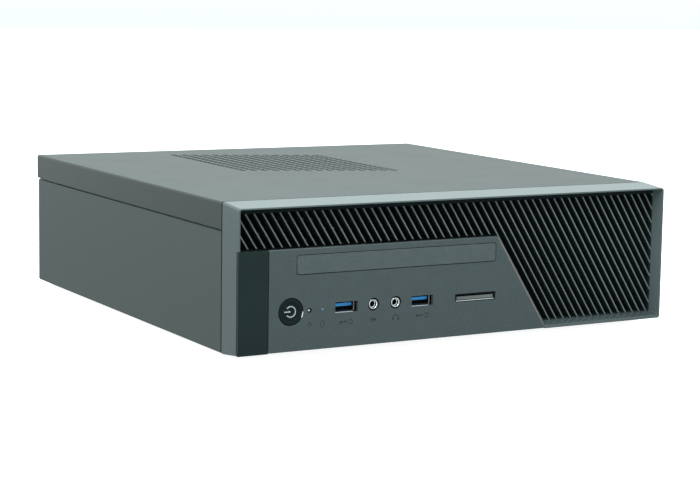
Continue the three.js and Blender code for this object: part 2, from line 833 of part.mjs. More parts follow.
const portWindows = [
  [lanX - 8.8, lanX + 8.8, 43.3],
  [usbTowerX - 8.8, usbTowerX + 8.8, 28.3],
  [51.7, 88.3, 21.3],
  [audioX - 7.3, audioX + 7.3, 49.3],
];
addPart(
  "io_shield",
  cut(
    block(
      shieldLeft + gap,
      shieldRight - gap,
      rearPanelY,
      rearPanelY + sheet,
      shieldLowZ + gap,
      shieldHighZ - gap,
    ),
    ...portWindows.map(([lowX, highX, highZ]) =>
      block(lowX, highX, rearPanelY - 1, rearY, boardHighZ - 0.2, highZ),
    ),
  ),
  materials.bareSteel,
);

for (const [index, x] of slotXs.entries()) {
  const plateY = rearPanelY - gap - sheet;
  const cover = join(
    block(x - 9.2, x + 9.2, plateY, plateY + sheet, 12.6, 84),
    block(x - 9.2, x + 9.2, plateY - 10, plateY + sheet, 83.2, 84),
  );
  addPart(`slot_cover_${index + 1}`, cover, materials.bareSteel);
}

// Power supply.

const supplyFanRadius = 18.5;
const inletHalfWidth = 12.5;
const inletHalfHeight = 8.8;
const switchHalfWidth = 9.7;
const switchHalfHeight = 5.9;
const supplyVents = [];
for (let index = 0; index < 6; index += 1) {
  const z = 16 + index * 11;
  supplyVents.push(block(supplyLeft + 8, supplyRight - 8, supplyFrontY - 1, supplyFrontY + 3, z, z + 4));
}
addPart(
  "psu_case",
  cut(
    block(supplyLeft, supplyRight, supplyFrontY, supplyRearY, supplyLowZ, supplyHighZ),
    block(
      supplyLeft + 1,
      supplyRight - 1,
      supplyFrontY + 1,
      supplyRearY - 1,
      supplyLowZ + 1,
      supplyHighZ - 1,
    ),
    rodAlongY(supplyFanRadius, supplyRearY - 3, supplyRearY + 1, supplyX, supplyFanZ, 32),
    block(
      supplyX - inletHalfWidth - gap,
      supplyX + inletHalfWidth + gap,
      supplyRearY - 3,
      supplyRearY + 1,
      inletZ - inletHalfHeight - gap,
      inletZ + inletHalfHeight + gap,
    ),
    block(
      supplyX - switchHalfWidth,
      supplyX + switchHalfWidth,
      supplyRearY - 3,
      supplyRearY + 1,
      switchZ - switchHalfHeight,
      switchZ + switchHalfHeight,
    ),
    rodAlongY(5, supplyFrontY - 1, supplyFrontY + 3, supplyX, 10, 16),
    ...supplyVents,
  ),
  materials.bareSteel,
);
addPart(
  "psu_board",
  join(
    block(supplyLeft + 2, supplyLeft + 3.6, 14, 130, supplyLowZ + 4, supplyHighZ - 4),
    block(supplyLeft + 3, supplyLeft + 30, 60, 88, 20, 52),
    block(supplyLeft + 3, supplyLeft + 28, 100, 103, 20, 76),
    block(supplyLeft + 3, supplyLeft + 28, 44, 47, 20, 76),
    block(supplyLeft + 3, supplyLeft + 24, 108, 126, 54, 72),
  ),
  materials.circuitBoard,
);
const supplyFanY = supplyRearY - 1 - gap - 5;
const supplyFrame = fanFrame(38, 10, 18.2, 9).rotateX(Math.PI / 2);
addPart("psu_fan_frame", supplyFrame, materials.darkPlastic, [supplyX, supplyFanY, supplyFanZ]);
const supplyRotor = rotor(8.5, 17.2, 6, 5, 0.6).rotateX(Math.PI / 2);
addPart("psu_fan_rotor", supplyRotor, materials.darkPlastic, [supplyX, supplyFanY - 0.8, supplyFanZ]);

const pinHalf = 1;
addPart(
  "psu_inlet",
  join(
    cut(
      join(
        block(
          supplyX - inletHalfWidth,
          supplyX + inletHalfWidth,
          supplyRearY - 18,
          supplyRearY + 1,
          inletZ - inletHalfHeight,
          inletZ + inletHalfHeight,
        ),
        block(supplyX - 14.5, supplyX + 14.5, supplyRearY + 0.2, supplyRearY + 2, inletZ - 10, inletZ + 10),
      ),
      block(supplyX - 11, supplyX + 11, supplyRearY - 15, supplyRearY + 3, inletZ - 7.4, inletZ + 7.4),
    ),
    ...[[-7, -1.5], [0, 0.5], [7, -1.5]].map(([x, z]) =>
      block(
        supplyX + x - pinHalf,
        supplyX + x + pinHalf,
        supplyRearY - 16,
        supplyRearY - 2,
        inletZ + z - 3.4,
        inletZ + z + 0.6,
      ),
    ),
  ),
  materials.darkPlastic,
);
const rocker = outlineAlongX([[-3, -5], [3, -5], [2, 0], [3, 5], [-3, 5]], -9.2, 9.2);
rocker.rotateX(-rockerTilt);
addPart("psu_rocker_switch", rocker, materials.darkPlastic, [supplyX, supplyRearY - 1.4, switchZ]);

// Drive cage: a slim drive bay on two legs, with a solid-state drive on top.

addPart(
  "drive_cage",
  join(
    cut(
      block(cageLeft, cageRight, cageFrontY, cageRearY, cageLowZ, cageHighZ),
      block(cageLeft + 1, cageRight - 1, cageFrontY - 1, cageRearY + 1, cageLowZ + 1, cageHighZ - 1),
    ),
    block(cageLeft, cageLeft + 1, cageLegFrontY, cageLegRearY, floorZ + gap, cageLowZ + 0.5),
    block(cageRight - 1, cageRight, cageLegFrontY, cageLegRearY, floorZ + gap, cageLowZ + 0.5),
    block(cageLeft, cageLeft + 12, cageLegFrontY, cageLegRearY, floorZ + gap, floorZ + gap + 1),
    block(cageRight - 12, cageRight, cageLegFrontY, cageLegRearY, floorZ + gap, floorZ + gap + 1),
  ),
  materials.bareSteel,
);
addPart(
  "solid_state_drive",
  join(
    block(-100, -30, cageFrontY + 2, -42, cageHighZ + 0.3, cageHighZ + 7.3),
    block(-92, -52, -42.5, -38, cageHighZ + 1.2, cageHighZ + 6),
  ),
  materials.darkPlastic,
);

// Inner cables, each held at both ends by its connectors.

const mainCableRoute = [
  [supplyX, supplyFrontY - 0.4, 10],
  [supplyX, -10, 10],
  [122, -50, 18],
  [94, -74, 34],
  [68, -75.5, 38],
  [60, -75.5, 31],
  [60, -75.5, boardHighZ + 10.6],
];
addPart("main_power_cable", cable(mainCableRoute, 4, 26), materials.darkPlastic);

const frontCableRoute = [
  [-50, frontBoardBackY + 0.4, 30],
  [-52, -116, 30],
  [-90, -100, 34],
  [-130, -92, 34],
  [-138, -80, 30],
  [-138, -80, boardHighZ + 8.6],
];
addPart("front_io_cable", cable(frontCableRoute, 2.2, 26), materials.darkPlastic);

const driveCableRoute = [
  [-72, -37.6, cageHighZ + 3.6],
  [-72, -24, cageHighZ + 4.4],
  [-82, -9, 60],
  [-110, -5, 46],
  [-129, -20, 34],
  [-128, -41, 24],
  [-128, -46, boardHighZ + 0.8],
];
addPart("drive_cable", cable(driveCableRoute, 2, 28), materials.darkPlastic);

export default computer;
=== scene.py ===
import math

import bmesh
import bpy
from mathutils import Matrix, Vector


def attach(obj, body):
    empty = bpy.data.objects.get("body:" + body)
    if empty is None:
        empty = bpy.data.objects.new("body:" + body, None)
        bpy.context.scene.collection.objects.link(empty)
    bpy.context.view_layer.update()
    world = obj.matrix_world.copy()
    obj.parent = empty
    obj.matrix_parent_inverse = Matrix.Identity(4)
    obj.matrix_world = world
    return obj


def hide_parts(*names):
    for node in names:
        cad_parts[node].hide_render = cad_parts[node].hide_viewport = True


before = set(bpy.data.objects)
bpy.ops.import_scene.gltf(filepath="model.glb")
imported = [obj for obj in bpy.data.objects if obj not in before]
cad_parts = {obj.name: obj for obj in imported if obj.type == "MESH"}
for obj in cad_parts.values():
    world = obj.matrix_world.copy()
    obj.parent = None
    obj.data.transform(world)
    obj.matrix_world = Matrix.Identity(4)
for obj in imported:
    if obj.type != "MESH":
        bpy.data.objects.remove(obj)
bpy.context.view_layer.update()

# Looks of a slim desktop computer lying flat. Lengths in this file are millimetres in the frame of the
# CAD part, and MM turns them into Blender's metres. The front faces -Y.

MM = 0.001

# Case.
HALF = 154.5
BASE = 3.0
TOP = 93.0
FRONT = -166.5
SEAM = -145.5
REAR = 159.5
TAIL = 166.5
SHEET = 0.8
GAP = 0.3
HEX = math.pi / 6
SEAM_LINE = 1.1
WALL = 154.0
UPPER_WALL = 153.4
FLANGE = 76.8
REAR_PANEL = 157.6
THROUGH_REAR = (REAR_PANEL - 1, REAR)
VENT = {"columns": 15, "rows": 17, "left": -63.5, "front": 13.0, "across": 7.0, "shear": 2.44, "along": 7.1}

# Front of the bezel and its panels.
FACE = -166.3
RIB_FRONT = -158.5
RIB_BACK = -150.5
OPENING_X = 151.2
OPENING_LOW = 8.8
OPENING_HIGH = 88.9
STRIP_RIGHT = -134.8
PANEL_LEFT = -134.4
PANEL_LOW = 5.3
PANEL_HIGH = 66.0
SLANT_TOP = 24.2
SLANT_LOW = 62.4
RIB_PITCH = 5.588
RIB_WIDTH = 1.4
LEAN = (SLANT_LOW - SLANT_TOP) / (PANEL_HIGH - PANEL_LOW)

BUTTON = (-119.8, 29.0)
POWER_LIGHT = (-107.4, 29.0)
DRIVE_LIGHT = (-98.6, 29.0)
USB_XS = {"left": -82.6, "right": -29.7}
USB_Z = 29.4
JACK_XS = {"microphone": -64.0, "headphone": -48.6}
JACK_Z = 29.6
READER = (-6.0, 23.4, 29.1)
BLANK = (-116.0, 23.0, 50.8, 62.0)
THUMBSCREWS = {"left": -50.0, "right": 94.0}
THUMBSCREW_Z = 84.0

# Supply.
SUPPLY_X = 130.65
SUPPLY_REAR = 157.3
SUPPLY_FAN_Z = 62.0
INLET_Z = 18.0

# Inner parts.
BOARD = (-150, 94, -86, 155.6)
BED = 11.6
BOARD_LOW = 10.2
BOARD_HIGH = 11.8
PROCESSOR = (8, 58)
MEMORY_YS = (-36, -46)
SLOT_XS = [-79.0 - 20.3 * i for i in range(4)]
CAPACITORS = [(66, 20), (66, 32), (66, 44), (66, 92), (66, 104), (-44, 20), (-50, 100), (-20, -70)]
CAGE = (-113.0, 21.0)
CAGE_TOP = 62.0


def slant(z):
    """X of the slanted end of the control panel at height z."""
    return SLANT_TOP + (PANEL_HIGH - z) * LEAN


# ---- camera


# Azimuth, elevation and roll in degrees, place in millimetres, lens and sensor in Blender's millimetres.
CAMERA_ANGLES = (-31.776, 7.358, 1.239)
CAMERA_PLACE = (-632.286, -1144.175, 224.356)
LENS = 98.365
SENSOR = 36.0
SHIFT = (-0.1123, -0.0361)
CLIP = (0.01, 20.0)


def make_camera():
    """The photograph's camera."""
    azimuth, elevation, roll = (math.radians(a) for a in CAMERA_ANGLES)
    flat = math.cos(elevation)
    forward = Vector((-math.sin(azimuth) * flat, math.cos(azimuth) * flat, -math.sin(elevation)))
    level = Vector((math.cos(azimuth), math.sin(azimuth), 0))
    upward = level.cross(forward)
    right = math.cos(roll) * level + math.sin(roll) * upward
    up = -math.sin(roll) * level + math.cos(roll) * upward
    data = bpy.data.cameras.new("camera")
    data.lens = LENS
    data.sensor_width = SENSOR
    data.shift_x, data.shift_y = SHIFT
    data.clip_start, data.clip_end = CLIP
    camera = bpy.data.objects.new("camera", data)
    bpy.context.scene.collection.objects.link(camera)
    turn = Matrix((right, up, -forward)).transposed().to_4x4()
    camera.matrix_world = Matrix.Translation(Vector(CAMERA_PLACE) * MM) @ turn
    bpy.context.scene.camera = camera


make_camera()


# ---- shading


def linear(*srgb):
    """A linear colour from 0 to 255 sRGB numbers."""
    parts = [c / 255 for c in srgb]
    return tuple(c / 12.92 if c <= 0.04045 else ((c + 0.055) / 1.055) ** 2.4 for c in parts) + (1.0,)


class Shader:
    """A material with one Principled shader and short calls for its nodes."""

    def __init__(self, name):
        self.material = bpy.data.materials.new(name)
        self.material.use_nodes = True
        self.tree = self.material.node_tree
        self.bsdf = self.tree.nodes["Principled BSDF"]
        self.place = self.add("ShaderNodeTexCoord").outputs["Object"]

    def add(self, kind, **inputs):
        node = self.tree.nodes.new(kind)
        for key, value in inputs.items():
            self.feed(node.inputs[key.replace("_", " ")], value)
        return node

    def feed(self, socket, value):
        if isinstance(value, bpy.types.NodeSocket):
            self.tree.links.new(value, socket)
        else:
            socket.default_value = value

    def noise(self, size, detail=2.0, stretch=None, roughness=0.5):
        """Noise whose features are about size millimetres across, longer along stretched axes."""
        place = self.place
        if stretch:
            scale = tuple(1 / s for s in stretch)
            place = self.add("ShaderNodeMapping", Vector=place, Scale=scale).outputs["Vector"]
        scale = 1 / (size * MM)
        node = self.add("ShaderNodeTexNoise", Vector=place, Scale=scale, Detail=detail, Roughness=roughness)
        return node.outputs["Fac"]

    def cells(self, size):
        """Distance to the nearest of points scattered about size millimetres apart."""
        return self.add("ShaderNodeTexVoronoi", Vector=self.place, Scale=1 / (size * MM)).outputs["Distance"]

    def span(self, value, low, high, start=0.35, end=0.65):
        """Maps value from start..end to low..high."""
        limits = {"From_Min": start, "From_Max": end, "To_Min": low, "To_Max": high}
        return self.add("ShaderNodeMapRange", Value=value, **limits).outputs["Result"]

    def blend(self, share, first, second):
        node = self.tree.nodes.new("ShaderNodeMix")
        node.data_type = "RGBA"
        self.feed(node.inputs[0], share)
        self.feed(node.inputs[6], first)
        self.feed(node.inputs[7], second)
        return node.outputs[2]

    def bump(self, height, depth, below=None):
        """Bump of depth millimetres, on top of the bump below."""
        node = self.add("ShaderNodeBump", Height=height, Strength=1.0, Distance=depth * MM)
        if below is not None:
            self.feed(node.inputs["Normal"], below)
        return node.outputs["Normal"]

    def set(self, **sockets):
        for key, value in sockets.items():
            self.feed(self.bsdf.inputs[key.replace("_", " ")], value)
        return self.material


def shade(colour, factor):
    return tuple(min(1.0, c * factor) for c in colour[:3]) + (1.0,)


def grained(name, srgb, roughness, grain, depth, mottle, speckle, patch=30, gloss=0.02, specular=None):
    """Moulded plastic or powder coat: fine grain, faint patches and slightly uneven gloss. Grain, depth
    and patch are millimetres; mottle, speckle and gloss are shares."""
    shader = Shader(name)
    colour = linear(*srgb)
    fine = shader.noise(grain, detail=3.0)
    broad = shader.noise(patch, detail=4.0)
    tone = shader.blend(
        shader.span(broad, 0, 1), shade(colour, 1 - mottle), shade(colour, 1 + mottle)
    )
    tone = shader.blend(shader.span(fine, 0, speckle, 0.55, 0.75), tone, shade(colour, 2.0))
    tone = shader.blend(shader.span(fine, speckle, 0, 0.25, 0.45), tone, shade(colour, 0.45))
    if specular is not None:
        shader.set(Specular_IOR_Level=specular)
    return shader.set(
        Base_Color=tone,
        Roughness=shader.span(broad, roughness - gloss, roughness + gloss),
        Normal=shader.bump(fine, depth),
    )


def rib_lit_fronts(name, srgb, roughness):
    """Black blades whose front edges are coloured grey as painted light, for the light the front faces catch:
    the tone turns at a set depth behind the front.
    """
    shader = Shader(name)
    painted_light_tone, side_tone = linear(*srgb), linear(29, 37, 39)
    fine = shader.noise(0.5, detail=3.0)
    parts = shader.add("ShaderNodeSeparateXYZ", Vector=shader.place)
    deep = shader.span(parts.outputs["Y"], 0, 1, (RIB_FRONT + 0.1) * MM, (RIB_FRONT + 0.4) * MM)
    # Painted light: the grey that the front faces take from the light falling on them.
    edge = shader.blend(shader.span(fine, 0, 1), shade(painted_light_tone, 0.85), shade(painted_light_tone, 1.12))
    side = shader.blend(shader.span(fine, 0, 1), shade(side_tone, 0.8), shade(side_tone, 1.3))
    return shader.set(
        Base_Color=shader.blend(deep, edge, side),
        Roughness=shader.span(fine, roughness - 0.05, roughness + 0.05),
        Normal=shader.bump(fine, 0.01),
    )


def rolled(name, srgb, roughness, along, grain, depth, spread=0.12):
    """Bare metal with fine lines along one axis and faint stains."""
    shader = Shader(name)
    colour = linear(*srgb)
    lines = shader.noise(grain, detail=3.0, stretch=along)
    stain = shader.noise(18, detail=5.0, roughness=0.6)
    tone = shader.blend(shader.span(stain, 0, 1), shade(colour, 1 - spread), shade(colour, 1 + spread / 2))
    tone = shader.blend(shader.span(lines, 0, 0.35), tone, shade(colour, 0.8))
    return shader.set(
        Base_Color=tone,
        Metallic=1.0,
        Roughness=shader.span(lines, roughness - 0.06, roughness + 0.1),
        Normal=shader.bump(lines, depth),
    )


def galvanised(name, srgb, roughness):
    """Zinc-coated sheet with soft crystal patches."""
    shader = Shader(name)
    colour = linear(*srgb)
    crystals = shader.cells(7)
    fine = shader.noise(0.6, detail=3.0)
    tone = shader.blend(shader.span(crystals, 0, 1, 0.1, 0.8), shade(colour, 0.88), shade(colour, 1.06))
    return shader.set(
        Base_Color=tone,
        Metallic=1.0,
        Roughness=shader.span(crystals, roughness - 0.05, roughness + 0.08, 0.1, 0.8),
        Normal=shader.bump(fine, 0.006),
    )


def board_green(name):
    """Solder mask with copper tracks showing faintly and small pads."""
    shader = Shader(name)
    mask = linear(10, 44, 32)
    pattern = {"Scale": 150.0, "Mortar_Size": 0.06, "Brick_Width": 1.3, "Row_Height": 0.35}
    bricks = shader.add("ShaderNodeTexBrick", Vector=shader.place, **pattern)
    bricks.offset = 0.37
    tracks = bricks.outputs["Fac"]
    fine = shader.noise(0.4, detail=2.0)
    patches = shader.noise(12, detail=3.0)
    tone = shader.blend(shader.span(patches, 0, 1), shade(mask, 0.7), shade(mask, 1.3))
    tone = shader.blend(shader.span(tracks, 0, 0.5, 0, 1), tone, linear(28, 84, 58))
    pads = shader.cells(2.6)
    tone = shader.blend(shader.span(pads, 0.8, 0, 0.1, 0.16), tone, linear(176, 170, 140))
    return shader.set(
        Base_Color=tone,
        Roughness=shader.span(patches, 0.32, 0.45),
        Normal=shader.bump(tracks, 0.03, shader.bump(fine, 0.008)),
    )


def glowing(name, srgb, glow, strength):
    """Clear light guide with a milky core."""
    shader = Shader(name)
    milk = shader.noise(0.5, detail=3.0)
    colour = linear(*srgb)
    return shader.set(
        Base_Color=shader.blend(shader.span(milk, 0, 1), shade(colour, 0.85), colour),
        Roughness=shader.span(milk, 0.12, 0.25),
        Emission_Color=linear(*glow),
        Emission_Strength=strength,
    )


# Name, colour, roughness, grain, depth, mottle and speckle, then patch, gloss and specular level.
COVER = grained("cover_paint", (36, 44, 43), 0.42, 0.45, 0.012, 0.03, 0.12, gloss=0.008, specular=0.5)
CHASSIS = grained("chassis_paint", (56, 63, 63), 0.5, 0.45, 0.012, 0.03, 0.12, gloss=0.008, specular=0.55)
BEZEL = grained("bezel_plastic", (68, 79, 80), 0.22, 0.5, 0.006, 0.03, 0.08, gloss=0.01, specular=0.68)
PANEL = grained("panel_plastic", (54, 64, 66), 0.55, 1.3, 0.06, 0.05, 0.34, patch=7)
BLANK_GREY = grained("blank_plastic", (62, 72, 73), 0.52, 1.3, 0.06, 0.05, 0.32, patch=7)
# The ribs' grey fronts are painted light; behind the front the blades keep their own black.
RIB = rib_lit_fronts("rib_plastic", (94, 101, 101), 0.5)
SHADOW = grained("grille_black", (22, 30, 32), 0.75, 0.5, 0.01, 0.08, 0.06, specular=0.1)
DARK = grained("dark_plastic", (12, 15, 16), 0.4, 0.5, 0.01, 0.1, 0.06)
STRIP = grained("strip_plastic", (22, 35, 35), 0.3, 0.4, 0.004, 0.04, 0.05, specular=0.18)
BUTTON_GLOSS = grained("button_plastic", (8, 20, 24), 0.16, 0.3, 0.001, 0.1, 0.04, specular=0.2)
SYMBOL = grained("symbol_grey", (158, 172, 170), 0.4, 0.3, 0.005, 0.05, 0.08)
INK = grained("icon_ink", (24, 31, 34), 0.7, 0.3, 0.02, 0.1, 0.1)
# A pinkish pale strip along the panel's slanted edge: a painted highlight for the light on the edge.
EDGE_HIGHLIGHT = grained("edge_line", (150, 128, 124), 0.35, 0.4, 0.004, 0.08, 0.1)
READER_GREY = grained("reader_grey", (92, 98, 97), 0.45, 0.4, 0.01, 0.05, 0.1)
BLUE = grained("blue_plastic", (34, 146, 224), 0.3, 0.3, 0.004, 0.05, 0.05)
RUBBER = grained("foot_rubber", (22, 22, 23), 0.85, 0.6, 0.06, 0.15, 0.2)
SHEATH = grained("cable_sheath", (20, 20, 22), 0.45, 0.8, 0.02, 0.1, 0.08)
IVORY = grained("ivory_plastic", (196, 190, 172), 0.45, 0.4, 0.01, 0.05, 0.08)
CHIP = grained("chip_epoxy", (24, 24, 26), 0.5, 0.25, 0.01, 0.1, 0.12)
LABEL = grained("plain_label", (186, 188, 186), 0.4, 0.4, 0.01, 0.04, 0.06)
ROSE = grained("rose_plastic", (214, 120, 138), 0.4, 0.4, 0.008, 0.05, 0.06)
LIME = grained("lime_plastic", (120, 184, 92), 0.4, 0.4, 0.008, 0.05, 0.06)
AQUA = grained("aqua_plastic", (92, 152, 200), 0.4, 0.4, 0.008, 0.05, 0.06)
GOLD = rolled("contact_gold", (212, 176, 98), 0.3, (1, 1, 8), 0.2, 0.002)
STEEL = galvanised("bare_steel", (178, 182, 184), 0.38)
SCREW = rolled("screw_steel", (190, 192, 194), 0.28, (1, 1, 1), 0.3, 0.01)
# The USB shells' steel: a darker copy of the port steel, painted shade.
SHADED_PORT_STEEL = rolled("socket_shell", (132, 126, 124), 0.35, (12, 1, 1), 0.2, 0.004)
PORT = rolled("port_steel", (206, 208, 208), 0.25, (12, 1, 1), 0.2, 0.004)
ALUMINIUM = rolled("heatsink_aluminium", (200, 203, 206), 0.33, (1, 24, 1), 0.3, 0.01)
GREEN = board_green("circuit_board")
CORE = glowing("light_core", (236, 240, 240), (255, 255, 255), 0.35)
BLUE_CORE = glowing("drive_core", (108, 132, 156), (120, 160, 190), 0.12)
BLACK = grained("socket_black", (4, 5, 6), 0.6, 0.4, 0.01, 0.1, 0.05, specular=0.2)
BRIGHT = rolled("ring_nickel", (238, 240, 240), 0.18, (1, 1, 1), 0.3, 0.002, spread=0.05)

# Materials that aren't named after their slot. The last ones have none.
SLOTS = {
    "panel_plastic": "blank_plastic edge_line",
    "button_plastic": "symbol_grey",
    "clear_plastic": "light_core drive_core",
    "port_steel": "contact_gold socket_shell ring_nickel",
    "dark_plastic": "grille_black strip_plastic icon_ink reader_grey chip_epoxy socket_black "
    "rose_plastic lime_plastic aqua_plastic",
    None: "blue_plastic ivory_plastic plain_label",
}
SLOT_OF = {name: slot for slot, names in SLOTS.items() for name in names.split()}


# ---- mesh tools

# A form is a pair of lists: points in millimetres and faces as point numbers. Where one is asked for, a
# list of forms does too.


def merged(forms):
    points, faces = [], []
    for more_points, more_faces in forms:
        base = len(points)
        points += list(more_points)
        faces += [tuple(base + i for i in face) for face in more_faces]
    return points, faces


def loft(rings, caps=True, ring=False):
    """Joins rings of equal point counts. With ring, the last one joins the first."""
    count = len(rings[0])
    points = [tuple(p) for r in rings for p in r]
    faces = []
    steps = len(rings) if ring else len(rings) - 1
    for step in range(steps):
        low, high = step * count, (step + 1) % len(rings) * count
        for i in range(count):
            j = (i + 1) % count
            faces.append((low + i, low + j, high + j, high + i))
    if caps and not ring:
        faces.append(tuple(reversed(range(count))))
        faces.append(tuple(range((len(rings) - 1) * count, len(rings) * count)))
    return points, faces


def along_y(outline, low, high):
    """An outline of (x, z) points run along Y."""
    return loft([[(x, y, z) for x, z in outline] for y in (low, high)])


def along_x(outline, low, high):
    """An outline of (y, z) points run along X."""
    return loft([[(x, y, z) for y, z in outline] for x in (low, high)])


def along_z(outline, low, high):
    """An outline of (x, y) points run along Z."""
    return loft([[(x, y, z) for x, y in outline] for z in (low, high)])


def rectangle(low_a, high_a, low_b, high_b, radius=0.0, steps=4):
    """Corners of a rectangle, rounded where radius is given, from the low corner on."""
    if radius <= 0:
        return [(low_a, low_b), (high_a, low_b), (high_a, high_b), (low_a, high_b)]
    outline = []
    corners = [
        (low_a + radius, low_b + radius, 180),
        (high_a - radius, low_b + radius, 270),
        (high_a - radius, high_b - radius, 0),
        (low_a + radius, high_b - radius, 90),
    ]
    for a, b, start in corners:
        for step in range(steps + 1):
            angle = math.radians(start + 90 * step / steps)
            outline.append((a + radius * math.cos(angle), b + radius * math.sin(angle)))
    return outline


def circle(a, b, radius, sides=24, turn=0.0):
    angles = [turn + 2 * math.pi * i / sides for i in range(sides)]
    return [(a + radius * math.cos(t), b + radius * math.sin(t)) for t in angles]


def block(low_x, high_x, low_y, high_y, low_z, high_z):
    return along_z(rectangle(low_x, high_x, low_y, high_y), low_z, high_z)


def turned(a, b, height, place, axis):
    """The point at a, b across an axis through place and at height along it."""
    point = {"X": (height, a, b), "Y": (a, height, b), "Z": (a, b, height)}[axis]
    return tuple(p + q for p, q in zip(point, place))


def revolved(profile, place, sides=32, axis="Z", ring=False):
    """A profile of (radius, height) points turned about an axis through place."""
    rings = []
    for radius, height in profile:
        points = circle(0, 0, max(radius, 0.001), sides)
        rings.append([turned(a, b, height, place, axis) for a, b in points])
    return loft(rings, ring=ring)


def collar(profile, place, sides=32, axis="Z"):
    """Like revolved, for a ring with a hole: the profile closes on itself."""
    return revolved(profile, place, sides, axis, ring=True)


def arc_band(a, b, inner, outer, start, end, steps=20):
    """Outline of part of a flat ring, angles in degrees."""
    angles = [math.radians(start + (end - start) * i / steps) for i in range(steps + 1)]
    far = [(a + outer * math.cos(t), b + outer * math.sin(t)) for t in angles]
    near = [(a + inner * math.cos(t), b + inner * math.sin(t)) for t in reversed(angles)]
    return far + near


def bar(a0, b0, a1, b1, width):
    """Outline of a straight bar between two points."""
    length = math.hypot(a1 - a0, b1 - b0)
    u, v = -(b1 - b0) / length * width / 2, (a1 - a0) / length * width / 2
    return [(a0 + u, b0 + v), (a0 - u, b0 - v), (a1 - u, b1 - v), (a1 + u, b1 + v)]


def spline(points, steps):
    """Catmull-Rom curve through points, steps pieces for each span."""
    full = [Vector(p) for p in points]
    full = [full[0] * 2 - full[1]] + full + [full[-1] * 2 - full[-2]]
    path = []
    for i in range(1, len(full) - 2):
        p0, p1, p2, p3 = full[i - 1 : i + 3]
        for step in range(steps):
            t = step / steps
            square = (2 * p0 - 5 * p1 + 4 * p2 - p3) * t * t
            cube = (3 * p1 - p0 - 3 * p2 + p3) * t * t * t
            path.append(0.5 * (2 * p1 + (p2 - p0) * t + square + cube))
    path.append(full[-2])
    return path


def frames(path):
    """A pair of cross directions at each point of a path, turning as little as they can."""
    side = None
    found = []
    for i in range(len(path)):
        ahead = (path[min(i + 1, len(path) - 1)] - path[max(i - 1, 0)]).normalized()
        if side is None:
            side = ahead.orthogonal().normalized()
        side = (side - ahead * side.dot(ahead)).normalized()
        found.append((side, ahead.cross(side)))
    return found


def tube(path, radius, sides=8, offset=(0.0, 0.0), twist=0.0):
    """A round wire along a path. Offset and twist lay it in a bundle."""
    rings = []
    for i, (point, (side, other)) in enumerate(zip(path, frames(path))):
        angle = twist * i / len(path)
        a = offset[0] * math.cos(angle) - offset[1] * math.sin(angle)
        b = offset[0] * math.sin(angle) + offset[1] * math.cos(angle)
        centre = point + side * a + other * b
        rings.append([tuple(centre + side * p + other * q) for p, q in circle(0, 0, radius, sides)])
    return loft(rings)


def mesh_from(name, form):
    """An object made of one form or of a list of forms."""
    points, faces = merged(form) if isinstance(form, list) else form
    mesh = bpy.data.meshes.new(name)
    mesh.from_pydata([Vector(p) * MM for p in points], [], faces)
    tidy_up = bmesh.new()
    tidy_up.from_mesh(mesh)
    bmesh.ops.recalc_face_normals(tidy_up, faces=tidy_up.faces)
    tidy_up.to_mesh(mesh)
    tidy_up.free()
    obj = bpy.data.objects.new(name, mesh)
    bpy.context.scene.collection.objects.link(obj)
    return obj


def settle(obj):
    """Turns an object's modifiers into its mesh."""
    graph = bpy.context.evaluated_depsgraph_get()
    mesh = bpy.data.meshes.new_from_object(obj.evaluated_get(graph))
    obj.modifiers.clear()
    old = obj.data
    obj.data = mesh
    bpy.data.meshes.remove(old)


def combine(obj, form, operation="DIFFERENCE"):
    """Cuts a form from an object, adds it or keeps what is common."""
    tool = mesh_from("tool", form)
    modifier = obj.modifiers.new("combine", "BOOLEAN")
    modifier.operation = operation
    modifier.solver = "EXACT"
    modifier.object = tool
    settle(obj)
    bpy.data.objects.remove(tool)


def soften(obj, width, segments=2, angle=35):
    """Rounds the sharp edges by width millimetres."""
    modifier = obj.modifiers.new("soften", "BEVEL")
    modifier.width = width * MM
    modifier.segments = segments
    modifier.limit_method = "ANGLE"
    modifier.angle_limit = math.radians(angle)
    modifier.use_clamp_overlap = True
    modifier.miter_outer = "MITER_ARC"
    settle(obj)


def dress(obj, material, stands_for=(), body="chassis", slot=None, smooth=35):
    """Gives a piece its material and body and hides the CAD nodes that it stands for. Its slot is looked up
    but not kept.
    """
    obj.data.materials.clear()
    obj.data.materials.append(material)
    obj.data.shade_smooth()
    obj.data.set_sharp_from_angle(angle=math.radians(smooth))
    modifier = obj.modifiers.new("normals", "WEIGHTED_NORMAL")
    modifier.keep_sharp = True
    settle(obj)
    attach(obj, body)
    name = material.name.split(".")[0]
    slot = slot or SLOT_OF.get(name, name)
    if stands_for:
        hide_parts(*stands_for)
    return obj


def piece(name, form, material, stands_for=(), cuts=None, edge=0.0, **dressing):
    """A piece from a form, with cuts taken out and then its edges rounded."""
    obj = mesh_from(name, form)
    if cuts:
        combine(obj, cuts)
    if edge:
        soften(obj, edge)
    return dress(obj, material, stands_for, **dressing)


def refined(node, material, edge=0.2, flat=True, **dressing):
    """A piece with the CAD node's form and rounded edges. Flat merges the faces of each plane."""
    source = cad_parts[node]
    obj = bpy.data.objects.new(node + "_shape", source.data.copy())
    bpy.context.scene.collection.objects.link(obj)
    work = bmesh.new()
    work.from_mesh(obj.data)
    bmesh.ops.remove_doubles(work, verts=work.verts, dist=0.004 * MM)
    if flat:
        bmesh.ops.dissolve_limit(work, angle_limit=math.radians(1), verts=work.verts, edges=work.edges)
    work.to_mesh(obj.data)
    work.free()
    soften(obj, edge, 1)
    return dress(obj, material, (node,), **dressing)


# ---- top cover


def vent_holes():
    """The slanted field of six-sided holes in the top cover."""
    holes = []
    for column in range(VENT["columns"]):
        for row in range(VENT["rows"]):
            x = VENT["left"] + VENT["across"] * column
            y = VENT["front"] - VENT["shear"] * column + VENT["along"] * row
            holes.append(along_z(circle(x, y, 2.75, 6, HEX), TOP - 3, TOP + 1))
    return holes


